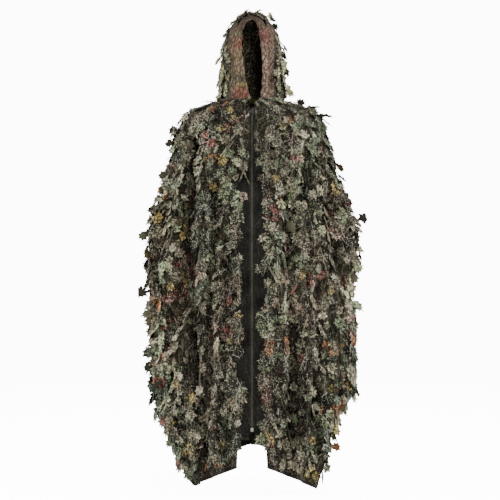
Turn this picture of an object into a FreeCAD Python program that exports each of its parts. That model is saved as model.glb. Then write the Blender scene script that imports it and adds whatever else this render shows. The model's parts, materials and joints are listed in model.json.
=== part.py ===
import FreeCAD, Part
import math
import os

import Sketcher

# A hooded leaf-covered camouflage poncho (ghillie suit), as it hangs when worn.
# The origin is the centre of the neck seam, where the wearer's neck and shoulders hold it up.
# +Z is up, the face opening and the zip look along -Y, and +X is the wearer's left.
# "drop" is a distance below the neck seam, "rise" is a height above it, and every size is in mm.

SIZES = [
    # cloth and seams
    ("cloth", 1.2, "thickness of the base cloth"),
    ("seam", 1.0, "gap between two panels sewn to each other"),
    ("inner_clear", 2.2, "gap between the base cloth and a tape or binding inside it"),
    ("binding", 9.0, "width of the bound hem"),
    ("binding_cloth", 2.0, "thickness of the bound hem"),
    # strips of leaf cloth
    ("leaf_cloth", 2.2, "thickness of a leaf strip"),
    ("leaf_clear", 5.5, "gap between a leaf strip's top edge and the base cloth"),
    ("leaf_lift", 5.0, "how far a strip's lower edge stands off its top edge's line"),
    ("leaf_rows", 12, "rows of leaf strips from the neck to the hem"),
    ("leaf_share", 0.8, "height of a strip as a share of the distance between rows"),
    ("leaf_first", 32.0, "drop of the first row's top edge"),
    ("leaf_margin", 9.0, "bare cloth between a strip's end and the panel's edge"),
    ("leaf_side_bare", 4.0, "bare cloth beside a hand opening, in degrees round the cape"),
    # the cape's outline, ring by ring: drop, half the width, depth behind the origin
    ("neck_half", 116.0, "neck ring, half the width"),
    ("neck_back", 118.0, "neck ring, depth to the back"),
    ("yoke_drop", 20.0, "top of the shoulder slope"),
    ("yoke_half", 188.0, "half the width there"),
    ("yoke_back", 124.0, "depth to the back there"),
    ("shoulder_drop", 62.0, "point of the shoulder"),
    ("shoulder_half", 246.0, "half the width there"),
    ("shoulder_back", 134.0, "depth to the back there"),
    ("arm_drop", 150.0, "upper arm"),
    ("arm_half", 282.0, "half the width there"),
    ("arm_back", 148.0, "depth to the back there"),
    ("elbow_drop", 330.0, "elbow"),
    ("elbow_half", 320.0, "half the width there"),
    ("elbow_back", 166.0, "depth to the back there"),
    ("wrist_drop", 560.0, "wrist, where the cape is widest"),
    ("wrist_half", 366.0, "half the width there"),
    ("wrist_back", 186.0, "depth to the back there"),
    ("thigh_drop", 730.0, "below the hands, where the sides step in"),
    ("thigh_half", 336.0, "half the width there"),
    ("thigh_back", 198.0, "depth to the back there"),
    ("knee_drop", 1000.0, "knee, above the highest part of the hem"),
    ("knee_half", 332.0, "half the width there"),
    ("knee_back", 216.0, "depth to the back there"),
    ("point_drop", 1318.0, "the hanging points of the hem"),
    ("point_half", 226.0, "half the width there"),
    ("point_back", 232.0, "depth to the back there"),
    ("fullness", 2.6, "power of the rings below the shoulder: 2 is an ellipse, more is squarer"),
    ("throat_depth", 118.0, "from the origin forward to the closure at the neck"),
    ("closure_angle", 4.4, "how far the closure leans forward as it goes down, in degrees"),
    # the hem
    ("side_hem", 1012.0, "drop of the hem at the side"),
    ("front_hem", 1146.0, "drop of the hem beside the zip's lower end"),
    ("lobe_hem", 1240.0, "drop of the hem where the notch below the zip ends"),
    ("seam_hem", 1296.0, "drop of the hem at the seam between front and sleeve"),
    ("back_hem", 1205.0, "drop of the hem at the centre back"),
    ("back_point_drop", 1290.0, "drop of the hem's hanging points at the back"),
    ("notch_half", 46.0, "half the width of the notch below the zip"),
    ("point_angle", 64.0, "where the hanging points are: 0 is the front, 90 the side"),
    ("seam_share", 0.78, "where the front seam is, as a share of half the width"),
    # hand openings
    ("hand_top", 575.0, "drop of the hand opening's upper end"),
    ("hand_length", 150.0, "length of the hand opening"),
    ("hand_angle", 6.0, "half the hand opening's width, in degrees round the cape"),
    ("hand_edge", 0.14, "from the opening to its binding, in degrees round the cape"),
    ("hand_binding", 1.6, "width of the opening's binding, in degrees round the cape"),
    # hood
    ("hood_rise", 306.0, "height of the hood's crown above the neck seam"),
    ("hood_half", 113.0, "half the hood's width"),
    ("hood_depth", 117.0, "half the hood's depth"),
    ("hood_clear", 2.5, "gap between the hood's lower edge and the cape's neck edge"),
    ("crown_half", 52.0, "half the width of the hood's centre panel"),
    ("slot_half", 31.0, "half the width of the face opening"),
    ("brow_share", 0.95, "height of the brow edge as a share of the crown's"),
    ("casing_share", 0.05, "depth of the casing over the brow as a share of the crown's height"),
    ("casing_gap", 0.004, "gap between the brow edge and the casing, as a share of the height"),
    ("casing_cloth", 3.0, "thickness of the folded casing round the face opening"),
    ("hood_leaf_rows", 4, "rows of leaf strips on each panel of the hood"),
    ("hood_leaf_low", 6.0, "from the hood's lower edge up to the first strip"),
    ("hood_leaf_high", 12.0, "from the top of a side panel down to the last strip"),
    ("nape_axis", 120.0, "from the origin back to the line the hood folds on"),
    # closure
    ("panel_edge", 8.5, "from the centre line to the edge of the front panel"),
    ("facing_width", 40.0, "width of the plain facing beside the zip"),
    ("facing_bare", 2.0, "gap between the plain facing and the leaf strips beside it"),
    ("fold_x", 101.5, "from the centre line to the line on which a front edge folds back"),
    ("fold_gap", 3.0, "gap between the folding edge and the rest of the front"),
    ("fold_bare", 16.0, "bare cloth between a leaf strip's end and the fold line"),
    ("yoke_hem", 26.0, "drop of the lower edge of the front yoke"),
    ("yoke_gap", 2.0, "gap between the front yoke and the folding edge below it"),
    ("zip_top", 30.0, "drop of the zip's upper end"),
    ("zip_length", 1100.0, "length of the zip"),
    ("zip_inset", 2.4, "from the outer face of the cloth in to the middle of the tape"),
    ("tape_width", 14.0, "width of one zip tape"),
    ("tape_cloth", 0.8, "thickness of the zip tape"),
    ("coil_width", 2.2, "width of one coil"),
    ("coil_thick", 2.4, "thickness of one coil"),
    ("coil_start", 1.0, "from the centre line to a coil"),
    ("slide_clear", 0.3, "clearance between the slider and what it runs on"),
    ("slider_gap", 2.0, "gap between the closed slider and the stop above or the coil below"),
    ("hair", 0.05, "gap between two parts of the zip that touch"),
    ("weld", 0.2, "how far two bars of one part run into each other"),
    ("overcut", 1.0, "how far a cutting bar runs past what it cuts"),
    ("slider_half", 6.5, "half the slider's width"),
    ("slider_length", 18.0, "length of the slider"),
    ("slider_wing", 1.5, "thickness of a slider wing"),
    ("post_length", 5.0, "length of the post that joins the slider's wings"),
    ("stop_length", 3.5, "length of a top stop"),
    ("stop_bulk", 1.0, "how much further out than the coil the left top stop reaches"),
    ("box_length", 12.0, "length of the retaining box"),
    ("box_wall", 1.3, "wall of the retaining box"),
    ("bridge_half", 0.9, "half the width of the slider's bridge"),
    ("bridge_length", 12.0, "length of the slider's bridge"),
    ("bridge_bar", 1.3, "thickness of the bridge"),
    ("pin_radius", 0.8, "radius of the pull tab's cross bar"),
    ("tab_clear", 0.25, "clearance round the pull tab's cross bar"),
    ("tab_half", 4.0, "half the pull tab's width"),
    ("tab_length", 26.0, "length of the pull tab's plate"),
    ("tab_thick", 1.2, "thickness of the pull tab"),
    ("tab_arm", 1.3, "width of each arm of the pull tab"),
    ("tab_hole_end", 3.0, "from the pull tab's end to its hole"),
    ("tab_hole", 7.0, "length of the pull tab's hole"),
    # hanging loop
    ("loop_radius", 22.0, "outer radius of the hanging loop"),
    ("loop_cloth", 1.6, "thickness of the loop's tape"),
    ("loop_width", 7.0, "width of the loop's tape"),
    ("neck_tape_width", 12.0, "width of the tape that covers the neck seam"),
    ("neck_tape_end", 6.0, "from the front seam to the tape's end, in degrees round the neck"),
]

doc = FreeCAD.newDocument("ghillie_poncho")
sheet = doc.addObject("Spreadsheet::Sheet", "sizes")
for row, (alias, value, note) in enumerate(SIZES, start=1):
    sheet.set(f"A{row}", alias)
    sheet.set(f"B{row}", str(value))
    sheet.set(f"C{row}", note)
    sheet.setAlias(f"B{row}", alias)
doc.recompute()

V = FreeCAD.Vector
LEFT, RIGHT = 1, -1
SIDES = ((LEFT, "left"), (RIGHT, "right"))
pieces = []


def size(alias):
    return float(sheet.get(alias))


def keep(piece, label):
    """Name a finished sub-part; its label names its file."""
    piece.Label = label
    pieces.append(piece)
    return piece


# ---------------------------------------------------------------- the cape's surface

RING_NAMES = ("neck", "yoke", "shoulder", "arm", "elbow", "wrist", "thigh", "knee", "point")
LEAN = math.tan(math.radians(size("closure_angle")))
RINGS = [
    (
        0.0 if name == "neck" else size(f"{name}_drop"),
        size(f"{name}_half"),
        size(f"{name}_back"),
        2.0 if name == "neck" else size("fullness"),
    )
    for name in RING_NAMES
]


def between(low, high, share):
    return low + (high - low) * share


def ring(drop):
    """Half width, front depth, back depth and power of the cape's outline at a drop."""
    drops = [r[0] for r in RINGS]
    k = max(i for i in range(len(RINGS) - 1) if drops[i] <= max(drop, 0.0))
    share = (drop - drops[k]) / (drops[k + 1] - drops[k])
    half, back, power = (between(RINGS[k][i], RINGS[k + 1][i], share) for i in (1, 2, 3))
    return half, size("throat_depth") + LEAN * drop, back, power


def cape_point(drop, angle):
    """A point of the cape's outer face; angle 0 is the centre front, 90 the left side, 180 the back."""
    half, front, back, power = ring(drop)
    s, c = math.sin(math.radians(angle)), math.cos(math.radians(angle))
    depth = front if c > 0 else back
    return V(
        math.copysign(half * abs(s) ** (2 / power), s),
        -math.copysign(depth * abs(c) ** (2 / power), c),
        -drop,
    )


def cape(drop, angle, out=0.0):
    """A point out from the cape's outer face along its normal, or in from it if out is negative."""
    round_it = cape_point(drop, angle + 1.0) - cape_point(drop, angle - 1.0)
    down_it = cape_point(drop + 1.0, angle) - cape_point(max(drop - 1.0, 0.0), angle)
    normal = down_it.cross(round_it).normalize()
    return cape_point(drop, angle) + normal * out


def angle_at(drop, x):
    """The angle at which the cape's front reaches x from the centre."""
    half, _, _, power = ring(drop)
    return math.degrees(math.asin(min(x / half, 1.0) ** (power / 2)))


def seam_x(drop):
    return size("seam_share") * ring(drop)[0]


def piecewise(x, knots):
    """The value at x of the line through the knots."""
    for (x0, y0), (x1, y1) in zip(knots, knots[1:]):
        if x <= x1:
            return between(y0, y1, (x - x0) / (x1 - x0))
    return knots[-1][1]


def front_hem(x):
    """Drop of a front panel's hem at x: level beside the zip, a notch, then down to the seam."""
    notch = size("notch_half")
    return piecewise(
        x,
        [
            (0.0, size("front_hem")),
            (notch, size("front_hem")),
            (notch + size("seam") * 4, size("lobe_hem")),
            (seam_x(size("lobe_hem")), size("seam_hem")),
        ],
    )


SEAM_ANGLE = angle_at(size("lobe_hem"), seam_x(size("lobe_hem")))


def round_hem(angle):
    """Drop of the hem from the front seam round to the centre back."""
    return piecewise(
        angle,
        [
            (SEAM_ANGLE, size("seam_hem")),
            (size("point_angle"), size("point_drop")),
            (90.0, size("side_hem")),
            (180.0 - size("point_angle"), size("back_point_drop")),
            (180.0, size("back_hem")),
        ],
    )


# ---------------------------------------------------------------- closed cloth solids


def cloth_solid(outer, inner):
    """A closed solid between two grids of points of the same shape."""
    rows, columns = len(outer), len(outer[0])
    points = [p for grid in (outer, inner) for line in grid for p in line]
    facets = []

    def at(layer, r, c):
        return layer * rows * columns + r * columns + c

    def quad(a, b, c, d):
        facets.append((a, b, c))
        facets.append((a, c, d))

    for r in range(rows - 1):
        for c in range(columns - 1):
            quad(at(0, r, c), at(0, r, c + 1), at(0, r + 1, c + 1), at(0, r + 1, c))
            quad(at(1, r, c), at(1, r + 1, c), at(1, r + 1, c + 1), at(1, r, c + 1))
    for r in range(rows - 1):
        quad(at(0, r, 0), at(0, r + 1, 0), at(1, r + 1, 0), at(1, r, 0))
        last = columns - 1
        quad(at(0, r, last), at(1, r, last), at(1, r + 1, last), at(0, r + 1, last))
    for c in range(columns - 1):
        quad(at(0, 0, c), at(1, 0, c), at(1, 0, c + 1), at(0, 0, c + 1))
        last = rows - 1
        quad(at(0, last, c), at(0, last, c + 1), at(1, last, c + 1), at(1, last, c))
    shell = Part.Shape()
    shell.makeShapeFromMesh(([tuple(p) for p in points], facets), 0.001)
    solid = Part.makeSolid(shell)
    if solid.Volume < 0:
        solid.reverse()
    return solid


def mirrored(point, side):
    return V(point.x * side, point.y, point.z)


def cape_strip(grid, out, side, lift=0.0):
    """A solid over a grid of (drop, angle) pairs; out is its two offsets, lift adds to the last row."""
    last = len(grid) - 1

    def layer(offset):
        return [
            [mirrored(cape(d, a, offset + lift * (r == last)), side) for d, a in line]
            for r, line in enumerate(grid)
        ]

    return cloth_solid(layer(max(out)), layer(min(out)))


def add_cloth(label, solids):
    """A soft sub-part, made of one solid or of several alike."""
    piece = doc.addObject("Part::Feature", label)
    piece.Shape = solids[0] if len(solids) == 1 else Part.makeCompound(solids)
    return keep(piece, label)


def spread(low, high, count):
    return [between(low, high, k / (count - 1)) for k in range(count)]


# ---------------------------------------------------------------- base panels of the cape

CLOTH = size("cloth")
BODY_DROPS = [r[0] for r in RINGS[:-1]]
HALFWAY = [between(low, high, 0.5) for low, high in zip(BODY_DROPS[3:], BODY_DROPS[4:])]
MID_DROPS = sorted(BODY_DROPS + HALFWAY)


def hand_gap(drop):
    """Half the angle left open at the side: a seam, widening to the hand opening."""
    share = (drop - size("hand_top")) / size("hand_length")
    closed = math.degrees(size("seam") / 2 / size("neck_half"))
    if not 0.0 < share < 1.0:
        return closed
    return closed + size("hand_angle") * math.sin(math.pi * share) ** 0.5


HAND_SHARES = (0.0, 0.12, 0.35, 0.65, 0.88, 1.0)
HAND_DROPS = [size("hand_top") + share * size("hand_length") for share in HAND_SHARES]
SIDE_DROPS = sorted(set(MID_DROPS + HAND_DROPS))


EDGE_START = size("yoke_hem") + size("yoke_gap")
FOLD_OUT = size("fold_x") + size("fold_gap") / 2
FOLD_IN = size("fold_x") - size("fold_gap") / 2


def panel_x(drop, share):
    """x on the fixed part of a front: share 0 is beside the fold line, share 1 is the seam."""
    return between(FOLD_OUT, seam_x(drop), share)


def edge_x(drop, share):
    """x on the folding edge of a front: share 0 is beside the zip, share 1 beside the fold line."""
    return between(size("panel_edge"), FOLD_IN, share)


def yoke_x(drop, share):
    """x on the front yoke, whose inner edges make the V of the throat."""
    throat = between(size("slot_half"), size("panel_edge"), drop / size("yoke_hem"))
    return between(throat, seam_x(drop), share)


def front_grid(x_at, shares, drops, hem_extra=None):
    """(drop, angle) pairs over a part of a front; hem_extra adds a last row that far below the hem."""
    grid = [[(drop, angle_at(drop, x_at(drop, share))) for share in shares] for drop in drops]
    if hem_extra is not None:
        last = []
        for share in shares:
            drop = front_hem(x_at(size("lobe_hem"), share)) + hem_extra
            last.append((drop, angle_at(drop, x_at(drop, share))))
        grid.append(last)
    return grid


def edge_share(x):
    return (x - size("panel_edge")) / (FOLD_IN - size("panel_edge"))


NOTCH_SHARES = [edge_share(size("notch_half")), edge_share(size("notch_half") + 4 * size("seam"))]
EDGE_SHARES = [0.0] + NOTCH_SHARES + [1.0]
PANEL_SHARES = spread(0.0, 1.0, 5)
FRONT_DROPS = [EDGE_START] + [drop for drop in MID_DROPS if drop > EDGE_START]
YOKE_DROPS = [0.0, size("yoke_drop"), size("yoke_hem")]


def sleeve_start(drop):
    return angle_at(drop, seam_x(drop) + size("seam"))


def sleeve_grid(drops, rear, shares, hem_extra=0.0, margin=0.0):
    """(drop, angle) pairs over one sleeve panel, in front of the side line or behind it."""
    grid = []
    for drop in list(drops) + [None]:
        line = []
        for share in shares:
            if drop is None:
                guess = between(SEAM_ANGLE, 90.0, share)
                level = round_hem(180.0 - guess if rear else guess) + hem_extra
            else:
                level = drop
            angle = between(sleeve_start(level) + margin, 90.0 - hand_gap(level) - margin, share)
            line.append((level, 180.0 - angle if rear else angle))
        grid.append(line)
    return grid


def back_grid(drops, shares, hem_extra=0.0, margin=0.0):
    """(drop, angle) pairs over one half of the back, from the seam to the centre back."""
    middle = math.degrees(size("seam") / 2 / size("neck_half"))
    grid = []
    for drop in list(drops) + [None]:
        line = []
        for share in shares:
            guess = between(180.0 - SEAM_ANGLE, 180.0, share)
            level = round_hem(guess) + hem_extra if drop is None else drop
            start = 180.0 - angle_at(level, seam_x(level)) + margin
            line.append((level, between(start, 180.0 - middle - margin, share)))
        grid.append(line)
    return grid


SLEEVE_SHARES = spread(0.0, 1.0, 9)
BACK_SHARES = spread(0.0, 1.0, 7)

for side, word in SIDES:
    for label, x_at, shares, drops, hem in (
        ("front_panel", panel_x, PANEL_SHARES, FRONT_DROPS, 0.0),
        ("front_edge", edge_x, EDGE_SHARES, FRONT_DROPS, 0.0),
        ("front_yoke", yoke_x, SLEEVE_SHARES, YOKE_DROPS, None),
    ):
        grid = front_grid(x_at, shares, drops, hem)
        add_cloth(f"{label}_{word}", [cape_strip(grid, (0, -CLOTH), side)])
    for rear, place in ((False, "front"), (True, "back")):
        grid = sleeve_grid(SIDE_DROPS, rear, SLEEVE_SHARES)
        add_cloth(f"sleeve_{place}_{word}", [cape_strip(grid, (0, -CLOTH), side)])
    add_cloth(f"back_panel_{word}", [cape_strip(back_grid(MID_DROPS, BACK_SHARES), (0, -CLOTH), side)])


# ---------------------------------------------------------------- bound hem and hand openings


def hem_strip(grid_of, shares, side):
    """The bound edge that hangs just below a panel's hem."""
    rows = [grid_of(shares, extra)[-1] for extra in (size("seam") / 4, size("binding"))]
    thick = size("binding_cloth")
    return cape_strip(rows, ((thick - CLOTH) / 2, -(thick + CLOTH) / 2), side)


def hand_strip(rear, side):
    """The bound edge of one side of a hand opening, inside the cloth."""
    rows = []
    for inset in (size("hand_edge") + size("hand_binding"), size("hand_edge")):
        line = []
        for drop in HAND_DROPS:
            angle = 90.0 - hand_gap(drop) - inset
            line.append((drop, 180.0 - angle if rear else angle))
        rows.append(line)
    near = -CLOTH - size("inner_clear")
    return cape_strip(rows, (near, near - size("binding_cloth")), side)


for side, word in SIDES:
    lobe = [NOTCH_SHARES[1], 1.0]
    for label, x_at, shares in (("edge", edge_x, lobe), ("front", panel_x, PANEL_SHARES)):
        strip = hem_strip(lambda shares, extra: front_grid(x_at, shares, [], extra), shares, side)
        add_cloth(f"hem_binding_{label}_{word}", [strip])
    sleeve = [
        hem_strip(lambda shares, extra: sleeve_grid([], rear, shares, extra), SLEEVE_SHARES, side)
        for rear in (False, True)
    ]
    add_cloth(f"hem_binding_sleeve_{word}", sleeve)
    rear_hem = hem_strip(lambda shares, extra: back_grid([], shares, extra), BACK_SHARES, side)
    add_cloth(f"hem_binding_back_{word}", [rear_hem])
    add_cloth(f"hand_opening_binding_{word}", [hand_strip(False, side), hand_strip(True, side)])


# ---------------------------------------------------------------- rows of leaf strips


def leaf_offsets():
    low = size("leaf_clear")
    return (low, low + size("leaf_cloth"))


def leaf_strips(column_of, hem_of, shares, side):
    """Strips one below the other; column_of gives the angle at a drop and a share across."""
    rows = int(size("leaf_rows"))
    first = size("leaf_first")
    strips = []
    for k in range(rows):
        grid = []
        for part in (k / rows, (k + size("leaf_share") / 2) / rows, (k + size("leaf_share")) / rows):
            line = []
            for share in shares:
                level = between(first, hem_of(share), part)
                line.append((level, column_of(level, share)))
            grid.append(line)
        strips.append(cape_strip(grid, leaf_offsets(), side, size("leaf_lift")))
    return strips


def panel_leaf_angle(drop, share):
    low = FOLD_OUT + size("fold_bare")
    return angle_at(drop, between(low, seam_x(drop) - size("leaf_margin"), share))


def panel_leaf_hem(share):
    return front_hem(panel_x(size("lobe_hem"), share))


def edge_leaf_x(share):
    """Strips of the folding edge stop short of the plain facing and of the fold line."""
    low = size("panel_edge") + size("facing_width") + size("facing_bare")
    return between(low, FOLD_IN - size("fold_bare"), share)


def edge_leaf_angle(drop, share):
    return angle_at(drop, edge_leaf_x(share))


def edge_leaf_hem(share):
    return front_hem(edge_leaf_x(share))


def sleeve_leaf_angle(rear):
    def angle(drop, share):
        low = angle_at(drop, seam_x(drop) + size("leaf_margin"))
        value = between(low, 90.0 - size("hand_angle") - size("leaf_side_bare"), share)
        return 180.0 - value if rear else value

    return angle


def sleeve_leaf_hem(rear):
    def hem(share):
        guess = between(SEAM_ANGLE, 90.0, share)
        return round_hem(180.0 - guess if rear else guess)

    return hem


def back_leaf_angle(drop, share):
    low = 180.0 - angle_at(drop, seam_x(drop) - size("leaf_margin"))
    return between(low, 180.0 - angle_at(drop, size("leaf_margin")), share)


def back_leaf_hem(share):
    return round_hem(between(180.0 - SEAM_ANGLE, 180.0, share))


for side, word in SIDES:
    front = leaf_strips(panel_leaf_angle, panel_leaf_hem, PANEL_SHARES, side)
    add_cloth(f"leaf_rows_front_{word}", front)
    edge = leaf_strips(edge_leaf_angle, edge_leaf_hem, [0.0, 1.0], side)
    add_cloth(f"leaf_rows_edge_{word}", edge)
    for rear, place in ((False, "front"), (True, "back")):
        rows = leaf_strips(sleeve_leaf_angle(rear), sleeve_leaf_hem(rear), SLEEVE_SHARES, side)
        add_cloth(f"leaf_rows_sleeve_{place}_{word}", rows)
    add_cloth(f"leaf_rows_back_{word}", leaf_strips(back_leaf_angle, back_leaf_hem, BACK_SHARES, side))


# ---------------------------------------------------------------- hood


def hood_rings(rise, grow):
    """Half width, front depth and back depth of the hood at a rise, grown outwards all round."""
    share = min(max(rise / (size("hood_rise") + grow), 0.0), 1.0)
    half = (size("hood_half") + grow) * math.sqrt(1 - share**3)
    depth = size("hood_depth") + grow
    return half, depth * math.sqrt(1 - share**5), depth * math.sqrt(1 - share**3)


def hood_top(x, grow):
    """The rise at which the hood is only x wide to each side."""
    share = (1 - (x / (size("hood_half") + grow)) ** 2) ** (1 / 3)
    return share * (size("hood_rise") + grow)


def hood_at(x, share, rear, grow):
    """A point of the hood at x and a share of its height there, on the front or the rear face."""
    rise = share * hood_top(x, grow)
    half, front, back = hood_rings(rise, grow)
    flat = math.sqrt(max(1 - (x / half) ** 2, 0.0)) if half > 0 else 0.0
    return V(x, back * flat if rear else -front * flat, rise)


def hood_round(rise, angle, grow):
    """A point of the hood at a rise and an angle round it: 0 is the front, 180 the nape."""
    half, front, back = hood_rings(rise, grow)
    s, c = math.sin(math.radians(angle)), math.cos(math.radians(angle))
    return V(half * s, -(front if c > 0 else back) * c, rise)


def hood_solid(places, point, grow, side=LEFT, lift=0.0):
    """A closed solid over a grid of places, between two amounts of growth."""
    last = len(places) - 1

    def layer(value):
        return [
            [mirrored(point(place, value + lift * (r == last)), side) for place in line]
            for r, line in enumerate(places)
        ]

    return cloth_solid(layer(max(grow)), layer(min(grow)))


CROWN = size("crown_half")
BASE = size("hood_clear")
BASE_SHARE = BASE / size("hood_rise")
SIDE_TOP = hood_top(CROWN + 4 * size("seam"), 0.0)
SIDE_RISES = [BASE, 60.0, 120.0] + spread(between(120.0, SIDE_TOP, 0.4), SIDE_TOP, 4)


def hood_side_places(rises, edge, shares):
    """(rise, angle) pairs from the face opening's side round to the centre panel's seam."""
    grid = []
    for rise in rises:
        half = hood_rings(rise, 0.0)[0]
        start = math.degrees(math.asin(min(edge / half, 0.999)))
        grid.append([(rise, between(start, 180.0 - start, share)) for share in shares])
    return grid


def side_place(place, grow):
    return hood_round(place[0], place[1], grow)


def crown_place(place, grow):
    return hood_at(place[0], place[1], place[2], grow)


def crown_places(steps, low_x=-CROWN, high_x=CROWN, count=7):
    """Places of the centre panel; steps are (share of the height, on the rear face)."""
    return [[(x, share, rear) for x in spread(low_x, high_x, count)] for share, rear in steps]


NAPE_TO_CROWN = [(share, True) for share in (BASE_SHARE, 0.25, 0.45, 0.65, 0.8, 0.9, 0.97)]
CROWN_TO_BROW = [(1.0, True), (0.985, False), (size("brow_share"), False)]
SIDE_SHARES = spread(0.0, 1.0, 11)

for side, word in SIDES:
    places = hood_side_places(SIDE_RISES, CROWN + 2 * size("seam"), SIDE_SHARES)
    add_cloth(f"hood_side_{word}", [hood_solid(places, side_place, (0, -CLOTH), side)])
crown = crown_places(NAPE_TO_CROWN + CROWN_TO_BROW)
add_cloth("hood_centre_panel", [hood_solid(crown, crown_place, (0, -CLOTH))])


def casing_places():
    """The casing's path: up one side of the face opening, over the brow and down the other side."""
    outer_x, inner_x = CROWN - size("seam") / 2, size("slot_half")
    outer_share = size("brow_share") - size("casing_gap")
    inner_share = outer_share - size("casing_share")
    rises = spread(size("hood_clear"), 0.7 * size("hood_rise"), 4)

    def upright(side):
        return [
            [(side * x, rise / hood_top(x, 0.0), False) for x in (outer_x, inner_x)] for rise in rises
        ]

    over = [
        [(outer_x * k, outer_share, False), (inner_x * k, inner_share, False)] for k in spread(-1.0, 1.0, 7)
    ]
    return upright(RIGHT) + over + list(reversed(upright(LEFT)))


fold = size("casing_cloth")
add_cloth("hood_edge_casing", [hood_solid(casing_places(), crown_place, (fold - CLOTH, -CLOTH))])

LEVELS = int(size("hood_leaf_rows")) + 1
side_levels = spread(BASE + size("hood_leaf_low"), SIDE_TOP - size("hood_leaf_high"), LEVELS)
for side, word in SIDES:
    strips = []
    for high, low in zip(side_levels[1:], side_levels):
        rises = [high - 5.0, between(high, low, 0.5), low]
        places = hood_side_places(rises, CROWN + size("leaf_margin"), spread(0.0, 1.0, 7))
        strips.append(hood_solid(places, side_place, leaf_offsets(), side, size("leaf_lift")))
    add_cloth(f"leaf_rows_hood_{word}", strips)

crown_levels = spread(BASE_SHARE + size("hood_leaf_low") / size("hood_rise"), 0.9, LEVELS)
strips = []
for high, low in zip(crown_levels[1:], crown_levels):
    steps = [(high - 0.02, True), (between(high, low, 0.5), True), (low, True)]
    edge = CROWN - size("leaf_margin")
    places = crown_places(steps, -edge, edge, 5)
    strips.append(hood_solid(places, crown_place, leaf_offsets(), LEFT, size("leaf_lift")))
add_cloth("leaf_rows_hood_centre", strips)


# ---------------------------------------------------------------- neck tape, facings, zip tapes

neck_end = angle_at(0.0, seam_x(0.0)) + size("neck_tape_end")
neck_angles = spread(neck_end, 360.0 - neck_end, 15)
neck_rows = [[(drop, angle) for angle in neck_angles] for drop in (1.0, size("neck_tape_width"))]
tape_in = -CLOTH - size("inner_clear")
add_cloth("neck_tape", [cape_strip(neck_rows, (tape_in, tape_in - size("tape_cloth")), LEFT)])


def beside_zip(near_x, far_x, drops, out, side):
    """A strip of cloth beside the zip, that follows the front."""
    grid = [[(drop, angle_at(drop, x)) for x in (near_x, far_x)] for drop in drops]
    return cape_strip(grid, out, side)


ZIP_END = size("zip_top") + size("zip_length")
STRIP_DROPS = [d for d in MID_DROPS if size("zip_top") < d < ZIP_END]
TAPE_NEAR = size("coil_start") + size("coil_width") + 2 * size("hair")
slider_top = size("zip_top") + size("stop_length") + size("slider_gap")
slider_middle = slider_top + size("slider_length") / 2
right_top = slider_top + size("slider_length") + size("slider_gap")

for side, word in SIDES:
    start = size("zip_top") if side == LEFT else right_top
    half_tape = size("tape_cloth") / 2
    tape = beside_zip(
        TAPE_NEAR,
        TAPE_NEAR + size("tape_width"),
        [start] + [d for d in STRIP_DROPS if d > start] + [ZIP_END],
        (-size("zip_inset") + half_tape, -size("zip_inset") - half_tape),
        side,
    )
    add_cloth(f"zip_tape_{word}", [tape])
    behind = -size("zip_inset") - half_tape - size("slide_clear")
    facing = beside_zip(
        size("panel_edge"),
        size("panel_edge") + size("facing_width"),
        [size("zip_top")] + STRIP_DROPS + [ZIP_END],
        (behind, behind - CLOTH),
        side,
    )
    add_cloth(f"zip_facing_{word}", [facing])


# ---------------------------------------------------------------- zip hardware
# It is drawn upright about the zip's own line, with z = 0 at the neck edge, then leant to the
# closure's angle and set in from the cloth's outer face.

ZIP_PLACE = FreeCAD.Placement(
    V(0, -size("throat_depth") + size("zip_inset"), 0),
    FreeCAD.Rotation(V(1, 0, 0), -size("closure_angle")),
)


def zip_box(label, x, y, z, length, width, height):
    """A plain bar of the zip; every argument after the label is an expression in the sheet's words."""
    bar = doc.addObject("Part::Box", label)
    bar.setExpression("Length", length)
    bar.setExpression("Width", width)
    bar.setExpression("Height", height)
    bar.setExpression("Placement.Base.x", x)
    bar.setExpression("Placement.Base.y", y)
    bar.setExpression("Placement.Base.z", z)
    return bar


def leant(shape_of, label):
    """Set a piece drawn upright into the closure's line."""
    doc.recompute()
    piece = doc.addObject("Part::Feature", label)
    shape = shape_of.Shape.copy()
    shape.Placement = ZIP_PLACE.multiply(shape.Placement)
    piece.Shape = shape
    return keep(piece, label)


def coil_x(side):
    return "sizes.coil_start" if side == LEFT else "-sizes.coil_start - sizes.coil_width"


HALF_COIL = "-sizes.coil_thick / 2"
LEFT_COIL_TOP = "sizes.zip_top + sizes.stop_length"
RIGHT_COIL_TOP = "sizes.zip_top + 2 * sizes.stop_length + sizes.slider_length + 2 * sizes.slider_gap"
COIL_END = "sizes.zip_top + sizes.zip_length - sizes.box_length"

for side, word in SIDES:
    top = LEFT_COIL_TOP if side == LEFT else RIGHT_COIL_TOP
    coil = zip_box(
        f"coil_bar_{word}",
        coil_x(side),
        HALF_COIL,
        f"-({COIL_END})",
        "sizes.coil_width",
        "sizes.coil_thick",
        f"{COIL_END} - ({top})",
    )
    leant(coil, f"zip_coil_{word}")

stop_left = zip_box(
    "stop_bar_left",
    "sizes.coil_start",
    "-sizes.coil_thick / 2 - sizes.stop_bulk / 2",
    "-(sizes.zip_top + sizes.stop_length) + sizes.hair",
    "sizes.coil_width",
    "sizes.coil_thick + sizes.stop_bulk",
    "sizes.stop_length",
)
leant(stop_left, "zip_top_stop_left")
stop_right = zip_box(
    "stop_bar_right",
    coil_x(RIGHT),
    HALF_COIL,
    f"-({RIGHT_COIL_TOP}) + sizes.hair",
    "sizes.coil_width",
    "sizes.coil_thick",
    "sizes.stop_length",
)
leant(stop_right, "zip_top_stop_right")
pin = zip_box(
    "pin_bar",
    coil_x(RIGHT),
    HALF_COIL,
    f"-({COIL_END}) - sizes.box_length + sizes.box_wall + sizes.slide_clear",
    "sizes.coil_width",
    "sizes.coil_thick",
    "sizes.box_length - sizes.box_wall - sizes.slide_clear - sizes.hair",
)
leant(pin, "insertion_pin")

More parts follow.
